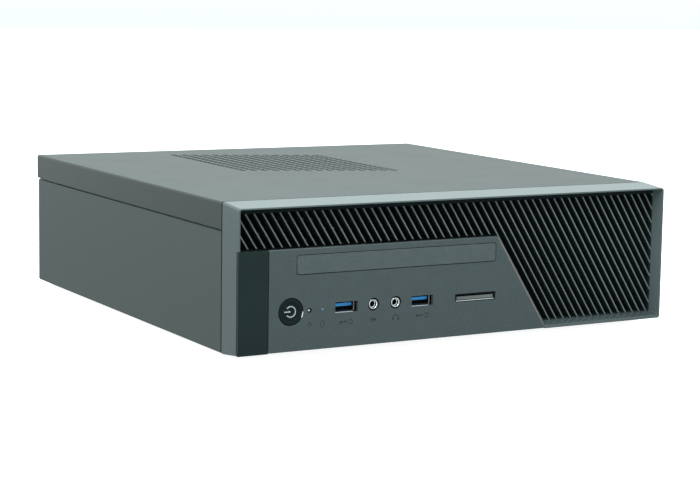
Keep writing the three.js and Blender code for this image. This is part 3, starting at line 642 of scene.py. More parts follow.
def fold_outline():
    """Section of the cover: a top sheet with a flange folded down at each side."""
    outer, steps = 1.3, 5
    inner = outer - SHEET
    turns = [math.radians(90 * i / steps) for i in range(steps + 1)]

    def corner(radius):
        x, z = HALF - outer, TOP - outer
        return [(x + radius * math.cos(t), z + radius * math.sin(t)) for t in turns]

    right_outer = [(HALF, FLANGE)] + corner(outer)
    right_inner = list(reversed(corner(inner))) + [(HALF - SHEET, FLANGE)]
    left_outer = [(-x, z) for x, z in reversed(right_outer)]
    left_inner = [(-x, z) for x, z in reversed(right_inner)]
    return right_outer + left_outer + left_inner + right_inner


def build_cover():
    cover = mesh_from("cover_shell", along_y(fold_outline(), SEAM + SEAM_LINE, REAR))
    middle = TOP - SHEET / 2
    lip = [(-62, middle), (-62, 80), (-59, 77), (103, 77), (106, 80), (106, middle)]
    combine(cover, along_y(lip, REAR - SHEET, REAR), "UNION")
    holes = [along_y(circle(x, THUMBSCREW_Z, 2, 20), REAR - 2, REAR + 1) for x in THUMBSCREWS.values()]
    combine(cover, vent_holes() + holes)
    dress(cover, COVER, ("top_cover",), body="cover")


build_cover()


# ---- chassis


def pan_outline():
    """Section of the chassis pan: floor and stepped side walls in one folded sheet."""
    radius, steps = 1.6, 5
    inner = radius - SHEET
    turns = [math.radians(-90 + 90 * i / steps) for i in range(steps + 1)]

    def corner(r):
        return [(WALL - radius + r * math.cos(t), BASE + radius + r * math.sin(t)) for t in turns]

    top = TOP - SHEET - GAP
    upper = UPPER_WALL - 0.5
    right_outer = corner(radius) + [(WALL, 75.4), (WALL - 0.25, 75.65), (upper, 75.9), (upper, top)]
    right_inner = [(upper - SHEET, top), (upper - SHEET, 75.5), (WALL - SHEET, 74.9)]
    right_inner += list(reversed(corner(inner)))
    left_inner = [(-x, z) for x, z in reversed(right_inner)]
    left_outer = [(-x, z) for x, z in reversed(right_outer)]
    return right_outer + right_inner + left_inner + left_outer


def build_pan():
    pan = mesh_from("chassis_pan", along_y(pan_outline(), SEAM + 2 * SEAM_LINE, REAR_PANEL + SHEET))
    dress(pan, CHASSIS, ("chassis_floor", "chassis_wall_left", "chassis_wall_right"))
    bosses = [
        revolved([(3.5, 3.7), (3.4, 6.5), (3.0, 8.6), (2.9, 10.1)], (x, y, 0), 20)
        for x in (-140, -20, 84)
        for y in (-76, 30, 145)
    ]
    piece("board_bosses", bosses, STEEL, slot="chassis_paint")
    # A lip behind the seam between the pan and the bezel: it closes the gap, and its black is painted shade
    # for the dark line in the seam.
    near, far = SEAM + GAP, SEAM + 3
    inner, outer = 150.8, 1.017 * 150.8
    lips = [block(-152.4, 152.4, near, far, 3.7, 5), block(-outer, -inner, near, far, 4.5, 75.5)]
    lips.append(block(inner, outer, near, far, 4.5, 75.5))
    piece("pan_front_lip", lips, SHADOW, slot="chassis_paint")


build_pan()


def front_panel_pieces():
    for node in ("front_panel", "front_rail"):
        refined(node, STEEL, 0.15)


def build_rear_panel():
    low, high = BASE + SHEET + GAP, TOP - SHEET - GAP
    right = [(152.9, low), (152.9, 74.4), (151.9, 75.2), (151.9, high)]
    left = [(-x, z) for x, z in reversed(right)]
    shield_hole = rectangle(-66, 92.8, 9.5, 54)
    outlines = [shield_hole, rectangle(112.9, 148.4, 7.3, 82.8, 2)]
    for x in SLOT_XS:
        outlines.append(rectangle(x - 6.3, x + 6.3, 18, 78, 1))
    for x in THUMBSCREWS.values():
        outlines.append(circle(x, THUMBSCREW_Z, 2, 20))
    for column in range(22):
        for row in range(3):
            x = -56 + 6.4 * column + (row % 2) * 3.2
            outlines.append(circle(x, 60 + 5.6 * row, 2.6, 6, HEX))
    cuts = [along_y(outline, *THROUGH_REAR) for outline in outlines]
    plate = along_y(right + left, REAR_PANEL, REAR_PANEL + SHEET)
    piece("rear_plate", plate, STEEL, ("rear_panel",), cuts=cuts)


front_panel_pieces()
build_rear_panel()


# ---- bezel


def bezel_ring(y, half, low, high, radius):
    return [(x, y, z) for x, z in rectangle(-half, half, low, high, radius, 5)]


def build_bezel():
    rings = [
        bezel_ring(SEAM, 154.35, 3.15, 92.85, 1.3),
        bezel_ring(SEAM - 0.15, 154.5, 3.0, 93.0, 1.5),
        bezel_ring(FRONT + 0.2, 154.12, 5.05, 91.2, 1.8),
        bezel_ring(FRONT + 0.06, 154.06, 5.12, 91.14, 1.75),
        bezel_ring(FRONT, 153.95, 5.25, 91.03, 1.7),
        bezel_ring(FRONT, 153.13, 6.95, 90.34, 0.85),
        bezel_ring(FRONT + 0.1, 153.02, 7.08, 90.22, 0.8),
        bezel_ring(RIB_FRONT, OPENING_X, OPENING_LOW, OPENING_HIGH, 0.5),
        bezel_ring(SEAM, OPENING_X, OPENING_LOW, OPENING_HIGH, 0.5),
    ]
    bezel = mesh_from("bezel_frame", loft(rings, ring=True))
    left, under, below = PANEL_LEFT - GAP, slant(PANEL_LOW) + GAP, -5
    panel_seat = [(left, below), (under, below), (under, PANEL_LOW)]
    panel_seat += [(slant(PANEL_HIGH) + GAP, PANEL_HIGH), (left, PANEL_HIGH)]
    combine(bezel, block(-160, STRIP_RIGHT, FRONT - 1, -164, below, 66.2))
    combine(bezel, along_y(panel_seat, FRONT - 1, RIB_FRONT + GAP))
    dress(bezel, BEZEL, ("front_bezel",), body="bezel")
    clips = []
    hook = [(-3, -2), (3, -2), (6, -0.6), (6, 0.6), (3.2, 2.5), (1.6, 2.5), (1.6, 1), (-3, 1)]
    for x, z in ((-143.5, 76), (143.5, 76), (-143.5, 14), (143.5, 14)):
        wall = math.copysign(OPENING_X + 1, x)
        clips.append(block(min(x, wall), max(x, wall), SEAM - 3, SEAM - 0.4, z - 2.5, z + 2.5))
        clips.append(along_x([(SEAM + a, z + b) for a, b in hook], x - 2.5, x + 2.5))
    piece("bezel_clips", clips, BEZEL, edge=0.2, body="bezel")


def build_strip():
    face = block(-HALF + 0.4, STRIP_RIGHT - 0.1, FRONT, FRONT + 2.2, PANEL_LOW - 0.2, PANEL_HIGH)
    piece("side_strip_face", face, STRIP, ("side_strip",), edge=0.12, body="bezel")
    inner = block(-OPENING_X + GAP, STRIP_RIGHT - 0.2, FRONT + 2.1, RIB_FRONT + 3, OPENING_LOW + GAP, 65.7)
    piece("side_strip_core", inner, DARK, edge=0.3, body="bezel")


def build_ribs():
    """Leaning blades with chamfered front edges, trimmed to the opening and the panels."""
    top, low, side = 86.9, OPENING_LOW + 0.1, OPENING_X - 0.1
    over, under = 92, 5
    ribs = []
    for index in range(-9, 61):
        x = -147.4 + index * RIB_PITCH
        upper, lower = x - (over - 88) * LEAN, x + (88 - under) * LEAN
        rings = []
        for y, inset in ((RIB_FRONT, 0.28), (RIB_FRONT + 0.3, 0.1), (RIB_BACK, -0.1)):
            corners = [(upper + inset, over), (lower + inset, under)]
            corners += [(lower + RIB_WIDTH - inset, under), (upper + RIB_WIDTH - inset, over)]
            rings.append([(a, y, z) for a, z in corners])
        ribs.append(loft(rings))
    grille = mesh_from("rib_blades", ribs)
    above = PANEL_HIGH + 0.3
    region = [(-side, above), (-side, top), (side, top), (side, low)]
    region += [(slant(low) + 0.6, low), (slant(above) + 0.6, above)]
    combine(grille, along_y(region, RIB_FRONT - 1, RIB_BACK + 0.2), "INTERSECT")
    dress(grille, RIB, ("rib_grille",), smooth=20, body="bezel")
    rail, liner = (RIB_BACK - 0.6, RIB_BACK + 1.2), (RIB_FRONT + 0.05, RIB_BACK + 3)
    rails = [
        block(-side, side, *rail, top - 2.5, OPENING_HIGH - GAP),
        block(-side, 32, *rail, PANEL_HIGH + 0.5, PANEL_HIGH + 3.5),
        block(55, side, *rail, low + 0.2, low + 3),
        block(-side, side, RIB_FRONT + 0.8, RIB_BACK - 0.8, top + 0.05, OPENING_HIGH - 0.15),
        block(side - 0.5, side + 0.08, *liner, low, OPENING_HIGH - 0.1),
        block(-side - 0.08, 0.5 - side, *liner, above, OPENING_HIGH - 0.1),
        block(slant(low) + 1, side, *liner, low - 0.05, low + 0.5),
    ]
    piece("rib_rails", rails, SHADOW, edge=0.15, body="bezel", slot="rib_plastic")


def build_backing():
    """Black sheet behind the ribs, perforated all over."""
    low, high, foot = OPENING_LOW + GAP, OPENING_HIGH - GAP, PANEL_HIGH - 4
    outline = [(-149, foot), (-149, high), (149, high), (149, low)]
    outline += [(slant(low) - 4, low), (slant(foot) - 4, foot)]
    holes = []
    for row in range(12):
        z = 14 + row * 6
        for column in range(44):
            x = -131 + column * 6.2 + (row % 2) * 3.1
            inside = z > PANEL_HIGH + 3.5 or x > slant(z) + 6
            if inside and abs(x) < 133 and z < high - 3:
                holes.append(along_y(circle(x, z, 2.2, 6, HEX), RIB_BACK, SEAM))
    sheet = along_y(outline, RIB_BACK + 1.5, RIB_BACK + 2.7)
    piece("mesh_backing", sheet, SHADOW, ("grille_backing",), cuts=holes, body="bezel")


def panel_outline(inset):
    left, low, high, end = PANEL_LEFT + inset, PANEL_LOW + inset, PANEL_HIGH - inset, inset * 1.2
    return [(left, low), (slant(low) - end, low), (slant(high) - end, high), (left, high)]


def control_cuts():
    """Openings of the panel for everything that comes through it."""
    left, right, low, high = BLANK
    outlines = [
        rectangle(left - 0.4, right + 0.4, low - 0.4, high + 0.4, 1.7),
        circle(*BUTTON, 8.35, 48),
        circle(*POWER_LIGHT, 1.5, 20),
        circle(*DRIVE_LIGHT, 0.85, 16),
    ]
    for x in USB_XS.values():
        outlines.append(rectangle(x - 7.7, x + 7.7, USB_Z - 3.3, USB_Z + 3.2, 0.4, 2))
    for x in JACK_XS.values():
        outlines.append(circle(x, JACK_Z, 3.95, 36))
    left, right, z = READER
    outlines.append(rectangle(left - GAP, right + GAP, z - 2.6, z + 2.6, 0.6, 3))
    return [along_y(outline, FRONT - 1, RIB_FRONT) for outline in outlines]


def build_panel():
    panel = mesh_from("panel_face", along_y(panel_outline(0), FACE, FACE + 2.5))
    soften(panel, 0.45, 3)
    combine(panel, control_cuts())
    dress(panel, PANEL, ("control_panel",), body="bezel")
    skirt = along_y(panel_outline(0.35), FACE + 2.4, RIB_FRONT + 0.1)
    hollow = along_y(panel_outline(2), FACE + 2.3, RIB_FRONT + 1)
    piece("panel_skirt", skirt, DARK, cuts=hollow, body="bezel", slot="panel_plastic")
    # The pale strip along the slanted edge is a painted highlight.
    low, high = PANEL_LOW + 0.6, PANEL_HIGH - 0.5
    edge = [(slant(low) - 0.28, low), (slant(low) + 0.05, low)]
    edge += [(slant(high) + 0.05, high), (slant(high) - 0.28, high)]
    piece("panel_highlight_strip", along_y(edge, FACE + 0.1, FACE + 0.6), EDGE_HIGHLIGHT, body="bezel")


def build_blank():
    left, right, low, high = BLANK
    plate = mesh_from("bay_plate", along_y(rectangle(left, right, low, high, 1.4), FACE, FACE + 2))
    soften(plate, 0.25, 2, angle=50)
    dress(plate, BLANK_GREY, ("drive_bay_blank",), body="bay_blank")
    catch = [(FACE + 1.9, low + 2), (FACE + 8, low + 2), (FACE + 8, high - 2.4)]
    catch += [(FACE + 6.6, high - 1.6), (FACE + 6, high - 2.2), (FACE + 1.9, high - 2.2)]
    catches = [along_x(catch, x, x + 2) for x in (left + 4, right - 6)]
    piece("bay_catches", catches, PANEL, edge=0.2, body="bay_blank")


def ring_cap(place, profile, sides=48):
    """A turned form about Y whose heights run back from the panel's face."""
    x, z = place
    return revolved(profile, (x, FACE, z), sides, axis="Y")


def build_button():
    cap = [(0, 0.55), (4.9, 0.42), (5.05, 0.62), (5.25, 0.62), (5.4, 0.4), (7.2, 0.25), (7.75, 0.4)]
    cap += [(8.0, 0.8), (8.0, 4.8), (7.6, 5.0), (2.5, 5.0), (2.5, 11.8), (0, 12.0)]
    piece("button_cap", ring_cap(BUTTON, cap, 64), BUTTON_GLOSS, ("power_button",), body="button", smooth=25)
    x, z = BUTTON
    marks = (arc_band(x, z, 2.85, 3.45, -140, 140, 36), bar(x - 4.2, z, x - 0.1, z, 0.65))
    symbol = [along_y(mark, FACE + 0.3, FACE + 0.6) for mark in marks]
    piece("button_symbol", symbol, SYMBOL, edge=0.06, body="button")
    # A thin glowing crescent at the button's lower right: a painted highlight for the glint on the edge of
    # its hole.
    crescent = arc_band(x + 0.08, z, 8.1, 8.32, -27, -3, 8)
    piece("button_painted_glint", along_y(crescent, FACE + 0.35, FACE + 2), CORE, body="bezel")


def build_lights():
    for name, place, radius, front, core in (
        ("power_light_pipe", POWER_LIGHT, 0.5, 0.6, CORE),
        ("drive_light_pipe", DRIVE_LIGHT, 0.78, 0.1, BLUE_CORE),
    ):
        profile = [(0, front), (radius * 0.6, front + 0.06), (radius, front + 0.3), (radius, 11.9), (0, 12)]
        piece(name + "_lens", ring_cap(place, profile, 24), core, (name,), body="bezel")
    x, z = POWER_LIGHT
    guard = [(1.48, 0.3), (0.6, 0.9), (0.55, 3.0), (1.48, 3.0)]
    piece("light_guard", collar(guard, (x, FACE, z), 24, "Y"), BLACK, body="bezel")


def icon_pieces():
    """Small generic symbols under the controls."""
    z = 20.4
    x, drive = POWER_LIGHT[0], DRIVE_LIGHT[0]
    marks = [arc_band(x, z, 1.0, 1.35, -60, 240, 18), bar(x, z, x, z + 1.4, 0.35)]
    for side in (1, -1):
        marks.append(arc_band(drive - 0.3, z + side, 0.9, 1.25, 90 - 90 * side, 270 - 90 * side, 10))
    for a in (-1.4, 0.8):
        marks.append(bar(drive + a, z - 1.0, drive + a, z + 1.0, 0.35))
    for x in USB_XS.values():
        marks += [bar(x - 3.4, z, x + 1.2, z, 0.5), bar(x - 2.0, z + 0.2, x - 0.6, z + 1.4, 0.45)]
        marks += [arc_band(x + 2.7, z, 1.1, 1.6, -150, 150, 14), circle(x - 3.9, z, 0.8, 12)]
    x = JACK_XS["microphone"]
    marks.append(rectangle(x - 1.1, x + 1.7, z - 0.8, z + 0.8, 0.75, 4))
    marks += [arc_band(x - 0.6, z, 1.25, 1.65, 90, 270, 12), bar(x - 2.2, z, x - 3.1, z, 0.45)]
    x = JACK_XS["headphone"]
    marks.append(arc_band(x, z - 0.2, 1.75, 2.2, 0, 180, 14))
    marks += [rectangle(x + a, x + a + 1.0, z - 1.7, z - 0.1, 0.3, 2) for a in (-2.4, 1.4)]
    forms = [along_y(mark, FACE - 0.02, FACE + 0.1) for mark in marks]
    piece("panel_symbols", forms, INK, body="bezel")


build_bezel()
build_strip()
build_ribs()
build_backing()
build_panel()
build_blank()
build_button()
build_lights()
icon_pieces()


# ---- front ports


def usb_shell(node, x):
    """A steel shell with a blue tongue, black floor and contacts. The shell's steel is darkened as painted
    shade.
    """
    z, mouth = USB_Z, FACE + 3.7
    back = mouth + 10.3
    outer = rectangle(x - 7.4, x + 7.4, z - 3.2, z + 3.2, 0.7, 3)
    inner = rectangle(x - 6.75, x + 6.75, z - 2.65, z + 2.65, 0.4, 3)
    flare = rectangle(x - 7.2, x + 7.2, z - 3.05, z + 3.05, 0.5, 3)
    sections = [(back, outer), (mouth + 0.1, outer), (mouth, flare)]
    sections += [(mouth + 0.5, inner), (back - 1.2, inner)]
    points, faces = loft([[(a, y, b) for a, b in outline] for y, outline in sections], caps=False)
    count = len(outer)
    faces.append(tuple(range(count)))
    faces.append(tuple(range(4 * count, 5 * count)))
    piece(node + "_shell", (points, faces), SHADED_PORT_STEEL, (node,))
    low, high = mouth + 0.9, back - 1.0
    tongue = block(x - 5.9, x + 5.9, low, high, z - 0.2, z + 1.7)
    piece(node + "_tongue", tongue, BLUE, edge=0.2, slot="port_steel")
    floor = block(x - 6.7, x + 6.7, low + 0.2, high, z - 2.6, z - 2.2)
    piece(node + "_floor", [floor, block(x - 6.7, x + 6.7, low + 4.0, high, z - 2.3, z + 2.6)], BLACK)
    contacts = []
    for i in range(4):
        a = x - 3.6 + 2.4 * i
        contacts.append(block(a - 0.5, a + 0.5, low + 1.0, high, z - 0.35, z - 0.15))
    piece(node + "_contacts", contacts, GOLD)


def build_front_ports():
    for side, x in USB_XS.items():
        node = f"usb_port_{side}"
        usb_shell(node, x)
        slope = [(FACE + 0.5, USB_Z - 3.25), (FACE + 3.8, USB_Z - 3.25), (FACE + 3.8, USB_Z - 2.75)]
        slope += [(FACE + 1.1, USB_Z - 2.65), (FACE + 0.5, USB_Z - 2.95)]
        piece(node + "_lip", along_x(slope, x - 7.4, x + 4.6), BRIGHT, edge=0.08)
    barrel = [(2.1, 1.2), (2.2, 0.75), (2.4, 0.5), (2.85, 0.5), (3.05, 0.7), (3.1, 4.0)]
    barrel += [(1.85, 4.0), (1.9, 2.4), (2.1, 2.3)]
    for use, x in JACK_XS.items():
        node = f"{use}_jack"
        piece(node + "_ring", collar(barrel, (x, FACE, JACK_Z), 40, "Y"), BRIGHT, (node,))
        housing = block(x - 3.5, x + 3.5, FACE + 3.9, FACE + 14, 26.0, JACK_Z + 3.3)
        bore = along_y(circle(x, JACK_Z, 1.8, 20), FACE, FACE + 12)
        piece(node + "_housing", housing, BLACK, cuts=bore, edge=0.25)
    left, right, z = READER
    shell = along_y(rectangle(left, right, z - 2.2, z + 2.2, 0.5, 3), FACE + 0.4, FACE + 30)
    hollow = block(left + 0.7, right - 0.7, FACE - 1, FACE + 26, z - 1.9, z + 1.7)
    piece("card_slot_frame", shell, BLACK, ("card_reader",), cuts=hollow)
    door = block(left + 1.5, right - 1.2, FACE + 1.0, FACE + 3, z - 1.3, z + 0.7)
    piece("card_slot_door", door, READER_GREY, edge=0.2)
    lip = block(left + 0.6, right - 0.9, FACE + 0.35, FACE + 1.6, z - 2.1, z - 1.65)
    piece("card_slot_lip", lip, BRIGHT, edge=0.1)


build_front_ports()


# ---- feet and screws


def build_feet():
    profile = [(0, 0.5), (4.5, 0.5), (4.9, 0.05), (8.0, 0.0), (8.5, 0.3), (9.6, 2.4), (10, 2.9), (0, 2.9)]
    for row, y in (("front", -122), ("rear", 132)):
        for side, x in (("left", -122), ("right", 122)):
            node = f"foot_{row}_{side}"
            piece(node + "_pad", revolved(profile, (x, y, 0), 36), RUBBER, (node,))


def build_thumbscrews():
    z, teeth = THUMBSCREW_Z, 36
    shank = [(0, 152.6), (1.2, 152.8)]
    for turn in range(14):
        shank += [(1.7, 153.2 + turn * 0.5), (1.35, 153.45 + turn * 0.5)]
    shank += [(1.5, 160.3), (0, 160.4)]
    for side, x in THUMBSCREWS.items():
        rings = []
        for y, grip, base in ((0.2, 0, 4.8), (0.6, 1, 5.3), (5.8, 1, 5.3), (6.5, 0, 5.0), (7.0, 0, 4.2)):
            ring = []
            for i in range(2 * teeth):
                radius = base + (0.2 if grip and i % 2 else 0.0)
                angle = 2 * math.pi * i / (2 * teeth)
                ring.append((x + radius * math.cos(angle), REAR + y, z + radius * math.sin(angle)))
            rings.append(ring)
        name, body = f"thumbscrew_{side}", f"{side}_thumbscrew"
        head = mesh_from(name + "_head", loft(rings))
        for a, b in ((3.4, 0.5), (0.5, 3.4)):
            combine(head, block(x - a, x + a, TAIL - 1.2, TAIL + 1, z - b, z + b))
        dress(head, SCREW, ("cover_" + name,), body=body, smooth=25)
        piece(name + "_shank", revolved(shank, (x, 0, z), 20, "Y"), SCREW, body=body)


build_feet()
build_thumbscrews()


# ---- inside: boards and drives


def sheet_parts():
    """Sheet and moulded parts that keep the CAD form with rounded edges."""
    steel = ("front_io_bracket", "psu_case", "drive_cage")
    steel += tuple(f"slot_cover_{i}" for i in range(1, 5))
    for node in steel:
        refined(node, STEEL, 0.12)
    for node in ("power_switch", "cpu_fan_frame", "psu_fan_frame", "psu_inlet", "audio_ports"):
        refined(node, DARK, 0.25)
    for node in ("lan_usb_ports", "usb_ports", "video_ports"):
        refined(node, PORT, 0.1, flat=False)
    refined("cpu_heatsink", ALUMINIUM, 0.12)
    refined("solid_state_drive", CHIP, 0.4)
    refined("psu_rocker_switch", DARK, 0.4, body="rocker")
    refined("psu_board", GREEN, 0.2)


def chips(places, low, high):
    """Epoxy packages: each place is an x and y span."""
    return [block(*place, low, high) for place in places]


def build_motherboard():
    circles = [circle(x, y, 2, 16) for x in (-140, 84) for y in (-76, 145)]
    holes = [along_z(outline, BOARD_LOW - 1, BOARD_HIGH + 1) for outline in circles]
    piece("board_plate", block(*BOARD, BOARD_LOW, BOARD_HIGH), GREEN, ("motherboard",), cuts=holes)
    x, y = PROCESSOR
    socket = block(x - 22, x + 22, y - 22, y + 22, BED, 15.5)
    well = block(x - 18.5, x + 18.5, y - 18.5, y + 18.5, 14.6, 17)
    piece("processor_socket", socket, IVORY, cuts=well)
    lever = tube(spline([(x + 24, y + 20, 13), (x + 24, y - 22, 13), (x + 20, y - 25, 13)], 5), 0.7)
    piece("socket_lever", lever, SCREW, slot="bare_steel")
    fins = [block(-84, -54, -40, -10, BED, 14)]
    fins += [block(-84 + 3.2 * i, -82.4 + 3.2 * i, -40, -10, 13.8, 19) for i in range(10)]
    piece("chipset_sink", fins, ALUMINIUM)
    build_board_slots()
    front_header = block(-148, -128, -84, -76, BED, 20)
    piece("front_header", front_header, BLUE, edge=0.2)
    build_board_parts()


def build_board_slots():
    """Card and memory slots in black, memory latches and headers in ivory."""
    black, pale = [], []
    for x, low_y in zip(SLOT_XS, (20, 82, 82)):
        black.append(block(x - 3.8, x - 1.0, low_y, 110, BED, 23))
        black.append(block(x + 1.0, x + 3.8, low_y, 110, BED, 23))
        black.append(block(x - 3.8, x + 3.8, low_y, 110, BED, 17))
        black.append(block(x - 3.8, x + 3.8, 96, 98.4, 16, 23))
    for y in MEMORY_YS:
        black.append(block(-43, 90, y - 3.2, y - 1, BED, 18))
        black.append(block(-43, 90, y + 1, y + 3.2, BED, 18))
        pale += [block(end, end + 3, y - 2.6, y + 2.6, BED, 20) for end in (-46.2, 90.2)]
    piece("board_slots", black, CHIP)
    pitch = 4.3
    for low_x, high_x, low_y, high_y in ((34, 86, -80, -71), (66, 82, 118, 128)):
        pale.append(block(low_x, high_x, low_y, high_y, BED, 21.6))
        for i in range(int((high_x - low_x) / pitch)):
            a = low_x + 0.5 + pitch * i
            pale += [block(a, a + 3.3, b, b + 3.3, 21.5, 22) for b in (low_y + 0.7, high_y - 4.0)]
    piece("board_headers", pale, IVORY)


def build_board_parts():
    can = [(0, 22.7), (2.9, 22.7), (3.2, 23), (3.7, 23), (3.95, 22.7), (3.95, 21.9), (0, 21.9)]
    sleeve = [(0, BED), (4, BED), (4, 12.6), (3.8, 12.9), (4, 13.2), (4, 22.3), (3.2, 22.4), (0, 22.4)]
    cans = [revolved(can, (a, b, 0), 20) for a, b in CAPACITORS]
    piece("capacitor_tops", cans, SCREW, slot="bare_steel")
    sleeves = [revolved(sleeve, (a, b, 0), 20) for a, b in CAPACITORS]
    piece("capacitor_sleeves", sleeves, CHIP)
    packages = [(-110, -96, 60, 74), (-118, -104, -30, -16), (-30, -22, 108, 116), (56, 62, 68, 76)]
    packages += [(-20 + 12 * i, -12 + 12 * i, 106, 112) for i in range(5)]
    packages += [(-140 + 9 * i, -136 + 9 * i, 120, 123) for i in range(7)]
    packages += [(-70 + 14 * i, -66 + 14 * i, -62, -58) for i in range(6)]
    piece("board_chips", chips(packages, BED, 13.4), CHIP, edge=0.15)
    coils = [(-20 + 12 * i, -12 + 12 * i, 114, 122) for i in range(5)]
    piece("board_coils", chips(coils, BED, 17.5), INK, edge=0.5)


def build_memory():
    for index, y in enumerate(MEMORY_YS):
        node = f"memory_module_{index + 1}"
        card = block(-42, 89, y - 0.6, y + 0.6, BOARD_HIGH + 1, 42.5)
        notch = along_y(circle(17.5, BOARD_HIGH + 1, 1.6, 16), y - 1, y + 1)
        piece(node + "_card", card, GREEN, (node,), cuts=notch)
        packages = [block(-37 + 15.4 * i, -26 + 15.4 * i, y - 1.6, y + 1.6, 23, 36) for i in range(8)]
        piece(node + "_chips", packages, CHIP, edge=0.15)
        pins = [block(-40 + 2.1 * i, -38.8 + 2.1 * i, y - 0.68, y + 0.68, 13, 17) for i in range(60)]
        piece(node + "_pins", pins, GOLD)


def build_front_board():
    high = 25.9
    plate = block(-130, 28, FACE + 7.5, -128, high - 1.4, high)
    piece("front_board_plate", plate, GREEN, ("front_io_board",), edge=0.1)
    sockets = chips([(-60, -40, -136, -129), (-35, -15, -136, -129)], high - 0.2, high + 8)
    piece("front_board_headers", sockets, BLUE, edge=0.25)
    places = [(x - 1.5, x + 1.5, -152.5, -149) for x, _ in (POWER_LIGHT, DRIVE_LIGHT)]
    mounts = chips(places, high - 0.2, 30.5)
    piece("light_mounts", mounts, IVORY, edge=0.2)
    packages = [(-108, -100, -142, -134), (-86, -78, -144, -138), (-4, 8, -143, -133)]
    packages += [(-75 + 9 * i, -73 + 9 * i, -147, -146) for i in range(8)]
    piece("front_board_chips", chips(packages, high - 0.1, high + 1.3), CHIP, edge=0.1)


def fan_rotor(node, body, place, axis, hub, tip, low, high, count):
    """A hub with curved blades that sweep and flatten towards the tip."""
    boss = [(0, high - 0.4), (hub - 2, high), (hub, high - 1), (hub, low + 0.6), (hub - 0.6, low), (0, low)]
    forms = [revolved(boss, place, 40, axis)]
    for blade in range(count):
        rings = []
        for step in range(7):
            share = step / 6
            radius = hub - 0.5 + (tip - hub + 0.5) * share
            lead = 2 * math.pi * blade / count + 0.45 * share**1.4
            width = (0.62 - 0.1 * share) * 2 * math.pi / count
            upper, lower = [], []
            for part in (0, 0.25, 0.5, 0.75, 1):
                angle = lead + width * part
                height = high - 0.8 - (high - low - 2.4) * part**0.8 * (1 - 0.25 * share)
                a, b = radius * math.cos(angle), radius * math.sin(angle)
                upper.append(turned(a, b, height, place, axis))
                lower.append(turned(a, b, height - 1.0, place, axis))
            rings.append(upper + lower[::-1])
        forms.append(loft(rings))
    piece(node + "_blades", forms, DARK, (node,), body=body, smooth=50)


def build_fans():
    x, y = PROCESSOR
    fan_rotor("cpu_fan_rotor", "cpu_fan", (x, y, 0), "Z", 18, 41.6, 52.2, 68, 7)
    fan_rotor("psu_fan_rotor", "psu_fan", (SUPPLY_X, 0, SUPPLY_FAN_Z), "Y", 8.5, 17.0, 147.3, 153.1, 5)
    screws = [screw_head((x + a, y + b, 71), "Z", 2.6) for a in (-40.5, 40.5) for b in (-40.5, 40.5)]
    piece("cpu_fan_screws", screws, SCREW)


def screw_head(place, axis, radius):
    """A low domed head, rising by a third of its radius."""
    rise = radius / 3
    profile = [(radius * 0.35, 0.1), (radius * 0.45, rise), (radius * 0.8, rise * 0.8), (radius, 0.1)]
    profile += [(radius, -0.6), (radius * 0.35, -0.6)]
    return collar(profile, place, 20, axis)


def ring_wire(place, radius, wire):
    """A wire ring about the Y axis."""
    return collar(circle(radius, 0, wire, 8), place, 48, "Y")


def build_supply():
    x, z = SUPPLY_X, SUPPLY_FAN_Z
    rear = SUPPLY_REAR + 0.7
    wires = [ring_wire((x, rear, z), radius, 0.55) for radius in (4.5, 8.5, 12.5, 16.5)]
    reach = 19.5
    for turn in (45, 135):
        a, b = reach * math.cos(math.radians(turn)), reach * math.sin(math.radians(turn))
        wires.append(along_y(bar(x - a, z - b, x + a, z + b, 1.1), rear - 0.4, rear + 0.5))
    piece("fan_guard", wires, SCREW, edge=0.1)
    heads = [screw_head((x + a, rear - 0.2, z + b), "Y", 2.5) for a in (-14.6, 14.6) for b in (-14.6, 14.6)]
    heads += [screw_head((x + a, SUPPLY_REAR, INLET_Z + 0.2), "Y", 2.2) for a in (-16, 16)]
    piece("supply_screws", heads, SCREW)
    pins = []
    for a, b in ((-7, -1.5), (0, 0.5), (7, -1.5)):
        low_z = INLET_Z + b - 3.45
        pins.append(block(x + a - 1.05, x + a + 1.05, 141.2, 155.4, low_z, low_z + 4.1))
    piece("inlet_pins", pins, SCREW, edge=0.3)
    piece("supply_label", block(114, 147, 34, 116, 85.75, 85.95), LABEL)
    bands = [block(117, 144, y, y + 1.2, 85.9, 86.0) for y in (42, 50, 100, 108)]
    piece("supply_label_bands", bands, INK)


def build_shield():
    """The plate around the rear connectors, with a raised rim at each window."""
    windows = [(31.2, 48.8, 43.3), (7.2, 24.8, 28.3), (51.7, 88.3, 21.3), (-55.3, -40.7, 49.3)]
    cuts = [block(a, b, *THROUGH_REAR, BED, c) for a, b, c in windows]
    cuts += [along_y(circle(-30 + 6 * i, z, 1.4, 16), *THROUGH_REAR) for z in (46, 40) for i in range(9)]
    plate = block(-65.7, 92.5, REAR_PANEL, REAR_PANEL + SHEET, 9.8, 53.7)
    piece("shield_plate", plate, STEEL, ("io_shield",), cuts=cuts)
    base = REAR_PANEL + 0.7
    rims = [block(a - 1.2, b + 1.2, base, REAR_PANEL + 1.3, c + 0.1, c + 1.2) for a, b, c in windows]
    rims += [block(-64.5, 91.3, base, REAR_PANEL + 1.2, z, z + 0.8) for z in (51.6, 10.4)]
    piece("shield_rims", rims, STEEL, edge=0.15)


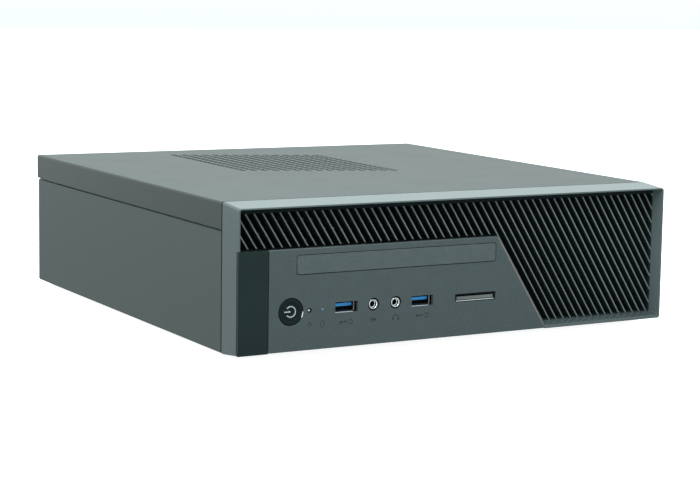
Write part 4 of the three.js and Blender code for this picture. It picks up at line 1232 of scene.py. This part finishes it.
def build_rear_ports():
    face = REAR - 0.3
    tongues = []
    for x in (40, 16):
        for z in (16, 23.5):
            tongues.append(block(x - 5.7, x + 5.7, face - 13.6, face - 1.4, z + 0.22, z + 2.18))
    piece("rear_usb_tongues", tongues, BLUE, edge=0.2)
    tongues = [block(a, a + 10.2, face - 9.2, face - 1.9, 15.9, 17.5) for a in (55.9, 73.9)]
    piece("video_tongues", tongues, BLACK, edge=0.2)
    liner = block(34.1, 45.9, face - 11.9, face - 0.4, 30.9, 39.1)
    piece("network_liner", liner, BLACK, cuts=block(34.8, 45.2, face - 11, face, 31.6, 38.4))
    contacts = [block(35.6 + 1.2 * i, 36.1 + 1.2 * i, face - 10, face - 2, 37.6, 38.5) for i in range(8)]
    piece("network_contacts", contacts, GOLD)
    lamps = [block(a, a + 3, face - 0.4, face + 0.12, 40.3, 41.9) for a in (33.6, 43.4)]
    piece("network_lamps", lamps, IVORY, edge=0.1, slot="clear_plastic")
    ring = [(1.95, 0.15), (2.4, 0.35), (3.6, 0.35), (3.9, 0.1), (3.9, -0.6), (1.95, -0.6)]
    for z, colour, material in ((19, "rose", ROSE), (30.5, "lime", LIME), (42, "aqua", AQUA)):
        piece(f"audio_ring_{colour}", collar(ring, (-48, face, z), 32, "Y"), material)
    piece("slot_screws", [screw_head((x, REAR_PANEL - 5, 84), "Z", 3.2) for x in SLOT_XS], SCREW)


def build_drives():
    left, right = CAGE
    rivets = [screw_head((x, y, CAGE_TOP), "Z", 2.0) for x in (left + 5, right - 5) for y in (-28, -80, -130)]
    piece("cage_rivets", rivets, SCREW)
    piece("drive_label", block(-94, -36, -132, -62, CAGE_TOP + 7.25, CAGE_TOP + 7.4), LABEL)


def cable_bundle(node, route, radius):
    """Sheathed wires twisted together along the CAD cable's route."""
    path = spline(route, 6)
    wires = [tube(path, radius * 0.46, 7)]
    for i in range(6):
        angle = math.pi * i / 3
        offset = (radius * 0.53 * math.cos(angle), radius * 0.53 * math.sin(angle))
        wires.append(tube(path, radius * 0.42, 7, offset, twist=2.2))
    piece(node + "_wires", wires, SHEATH, (node,), smooth=60)
    ties = []
    for share in (0.3, 0.7):
        i = int(len(path) * share)
        band = [path[i - 1].lerp(path[i], 0.6), path[i].copy()]
        ties.append(tube(band, radius * 1.02, 14))
    piece(node + "_ties", ties, IVORY)


def build_cables():
    """Bundles from the supply, the front board and the drive to the motherboard."""
    x, above = SUPPLY_X, BOARD_HIGH
    main = [(x, 7.6, 10), (x, -10, 10), (122, -50, 18), (94, -74, 34), (68, -75.5, 37.5), (60, -75.5, 31)]
    cable_bundle("main_power_cable", main + [(60, -75.5, above + 10.8)], 3.8)
    front = [(-50, -127.6, 30), (-52, -116, 30), (-90, -100, 33.5), (-130, -92, 33.5), (-138, -80, 30)]
    cable_bundle("front_io_cable", front + [(-138, -80, above + 8.8)], 2.1)
    drive = [(-72, -37.6, 65.6), (-72, -24, 66), (-82, -9, 60), (-110, -5, 46), (-129, -20, 34)]
    cable_bundle("drive_cable", drive + [(-128, -41, 24), (-128, -46, above + 1)], 1.9)


sheet_parts()
build_motherboard()
build_memory()
build_front_board()
build_fans()
build_supply()
build_shield()
build_rear_ports()
build_drives()
build_cables()


# ---- floor and lights


def build_floor():
    """A plain pale floor, bright enough to show no shadow. The studio alone lights the object."""
    floor = mesh_from("floor", block(-6000, 6000, -6000, 6000, -30, -0.05))
    shader = Shader("floor")
    haze = shader.noise(400, detail=2.0)
    shader.set(
        Base_Color=shader.blend(haze, (0.78, 0.78, 0.78, 1), (0.8, 0.8, 0.8, 1)),
        Roughness=1.0,
        Specular_IOR_Level=0.0,
        Emission_Color=(1, 1, 1, 1),
        Emission_Strength=0.9,
    )
    floor.data.materials.append(shader.material)
    floor.visible_diffuse = False
    floor.visible_glossy = False


# Share of the height from straight down to straight up, and brightness there.
STUDIO_STOPS = [(0.0, 0.45), (0.42, 0.6), (0.5, 1.0), (0.56, 1.13), (0.66, 1.53), (0.8, 1.1), (1.0, 1.2)]


def build_world():
    """A white studio, brighter overhead and dimmer below the horizon."""
    world = bpy.data.worlds.new("studio")
    world.use_nodes = True
    nodes, links = world.node_tree.nodes, world.node_tree.links
    heading = nodes.new("ShaderNodeTexCoord")
    parts = nodes.new("ShaderNodeSeparateXYZ")
    height = nodes.new("ShaderNodeMapRange")
    height.inputs["From Min"].default_value = -1.0
    ramp = nodes.new("ShaderNodeValToRGB")
    for place, level in STUDIO_STOPS[:-2]:
        ramp.color_ramp.elements.new(place).color = (level, level * 1.15, level * 1.14, 1)
    for element, (place, level) in zip(ramp.color_ramp.elements[-2:], STUDIO_STOPS[-2:]):
        element.position = place
        element.color = (level, level * 1.15, level * 1.14, 1)
    links.new(heading.outputs["Generated"], parts.inputs[0])
    links.new(parts.outputs["Z"], height.inputs["Value"])
    links.new(height.outputs["Result"], ramp.inputs["Fac"])
    links.new(ramp.outputs["Color"], nodes["Background"].inputs["Color"])
    bpy.context.scene.world = world
    bpy.context.scene.view_settings.view_transform = "Standard"


def add_light(name, place, target, size, power, spread=180):
    data = bpy.data.lights.new(name, "AREA")
    data.spread = math.radians(spread)
    data.shape = "RECTANGLE"
    data.size, data.size_y = size
    data.energy = power
    light = bpy.data.objects.new(name, data)
    bpy.context.scene.collection.objects.link(light)
    light.location = place
    light.rotation_euler = (Vector(target) - Vector(place)).to_track_quat("-Z", "Y").to_euler()


build_floor()
build_world()
add_light("overhead", (0.0, 0.2, 1.6), (0, 0, 0.05), (1.6, 1.6), 6.5)
add_light("front_strip", (-0.14, -0.29, 0.34), (-0.06, -0.16, 0.05), (0.4, 0.1), 1.3)
add_light("rear_left", (-0.3, 1.0, 0.1), (-0.155, 0.1, 0.05), (0.5, 0.3), 0.18)
add_light("wall_beam", (-0.6, -0.255, 0.07), (0.152, -0.1635, 0.048), (0.03, 0.09), 0.008, 7)
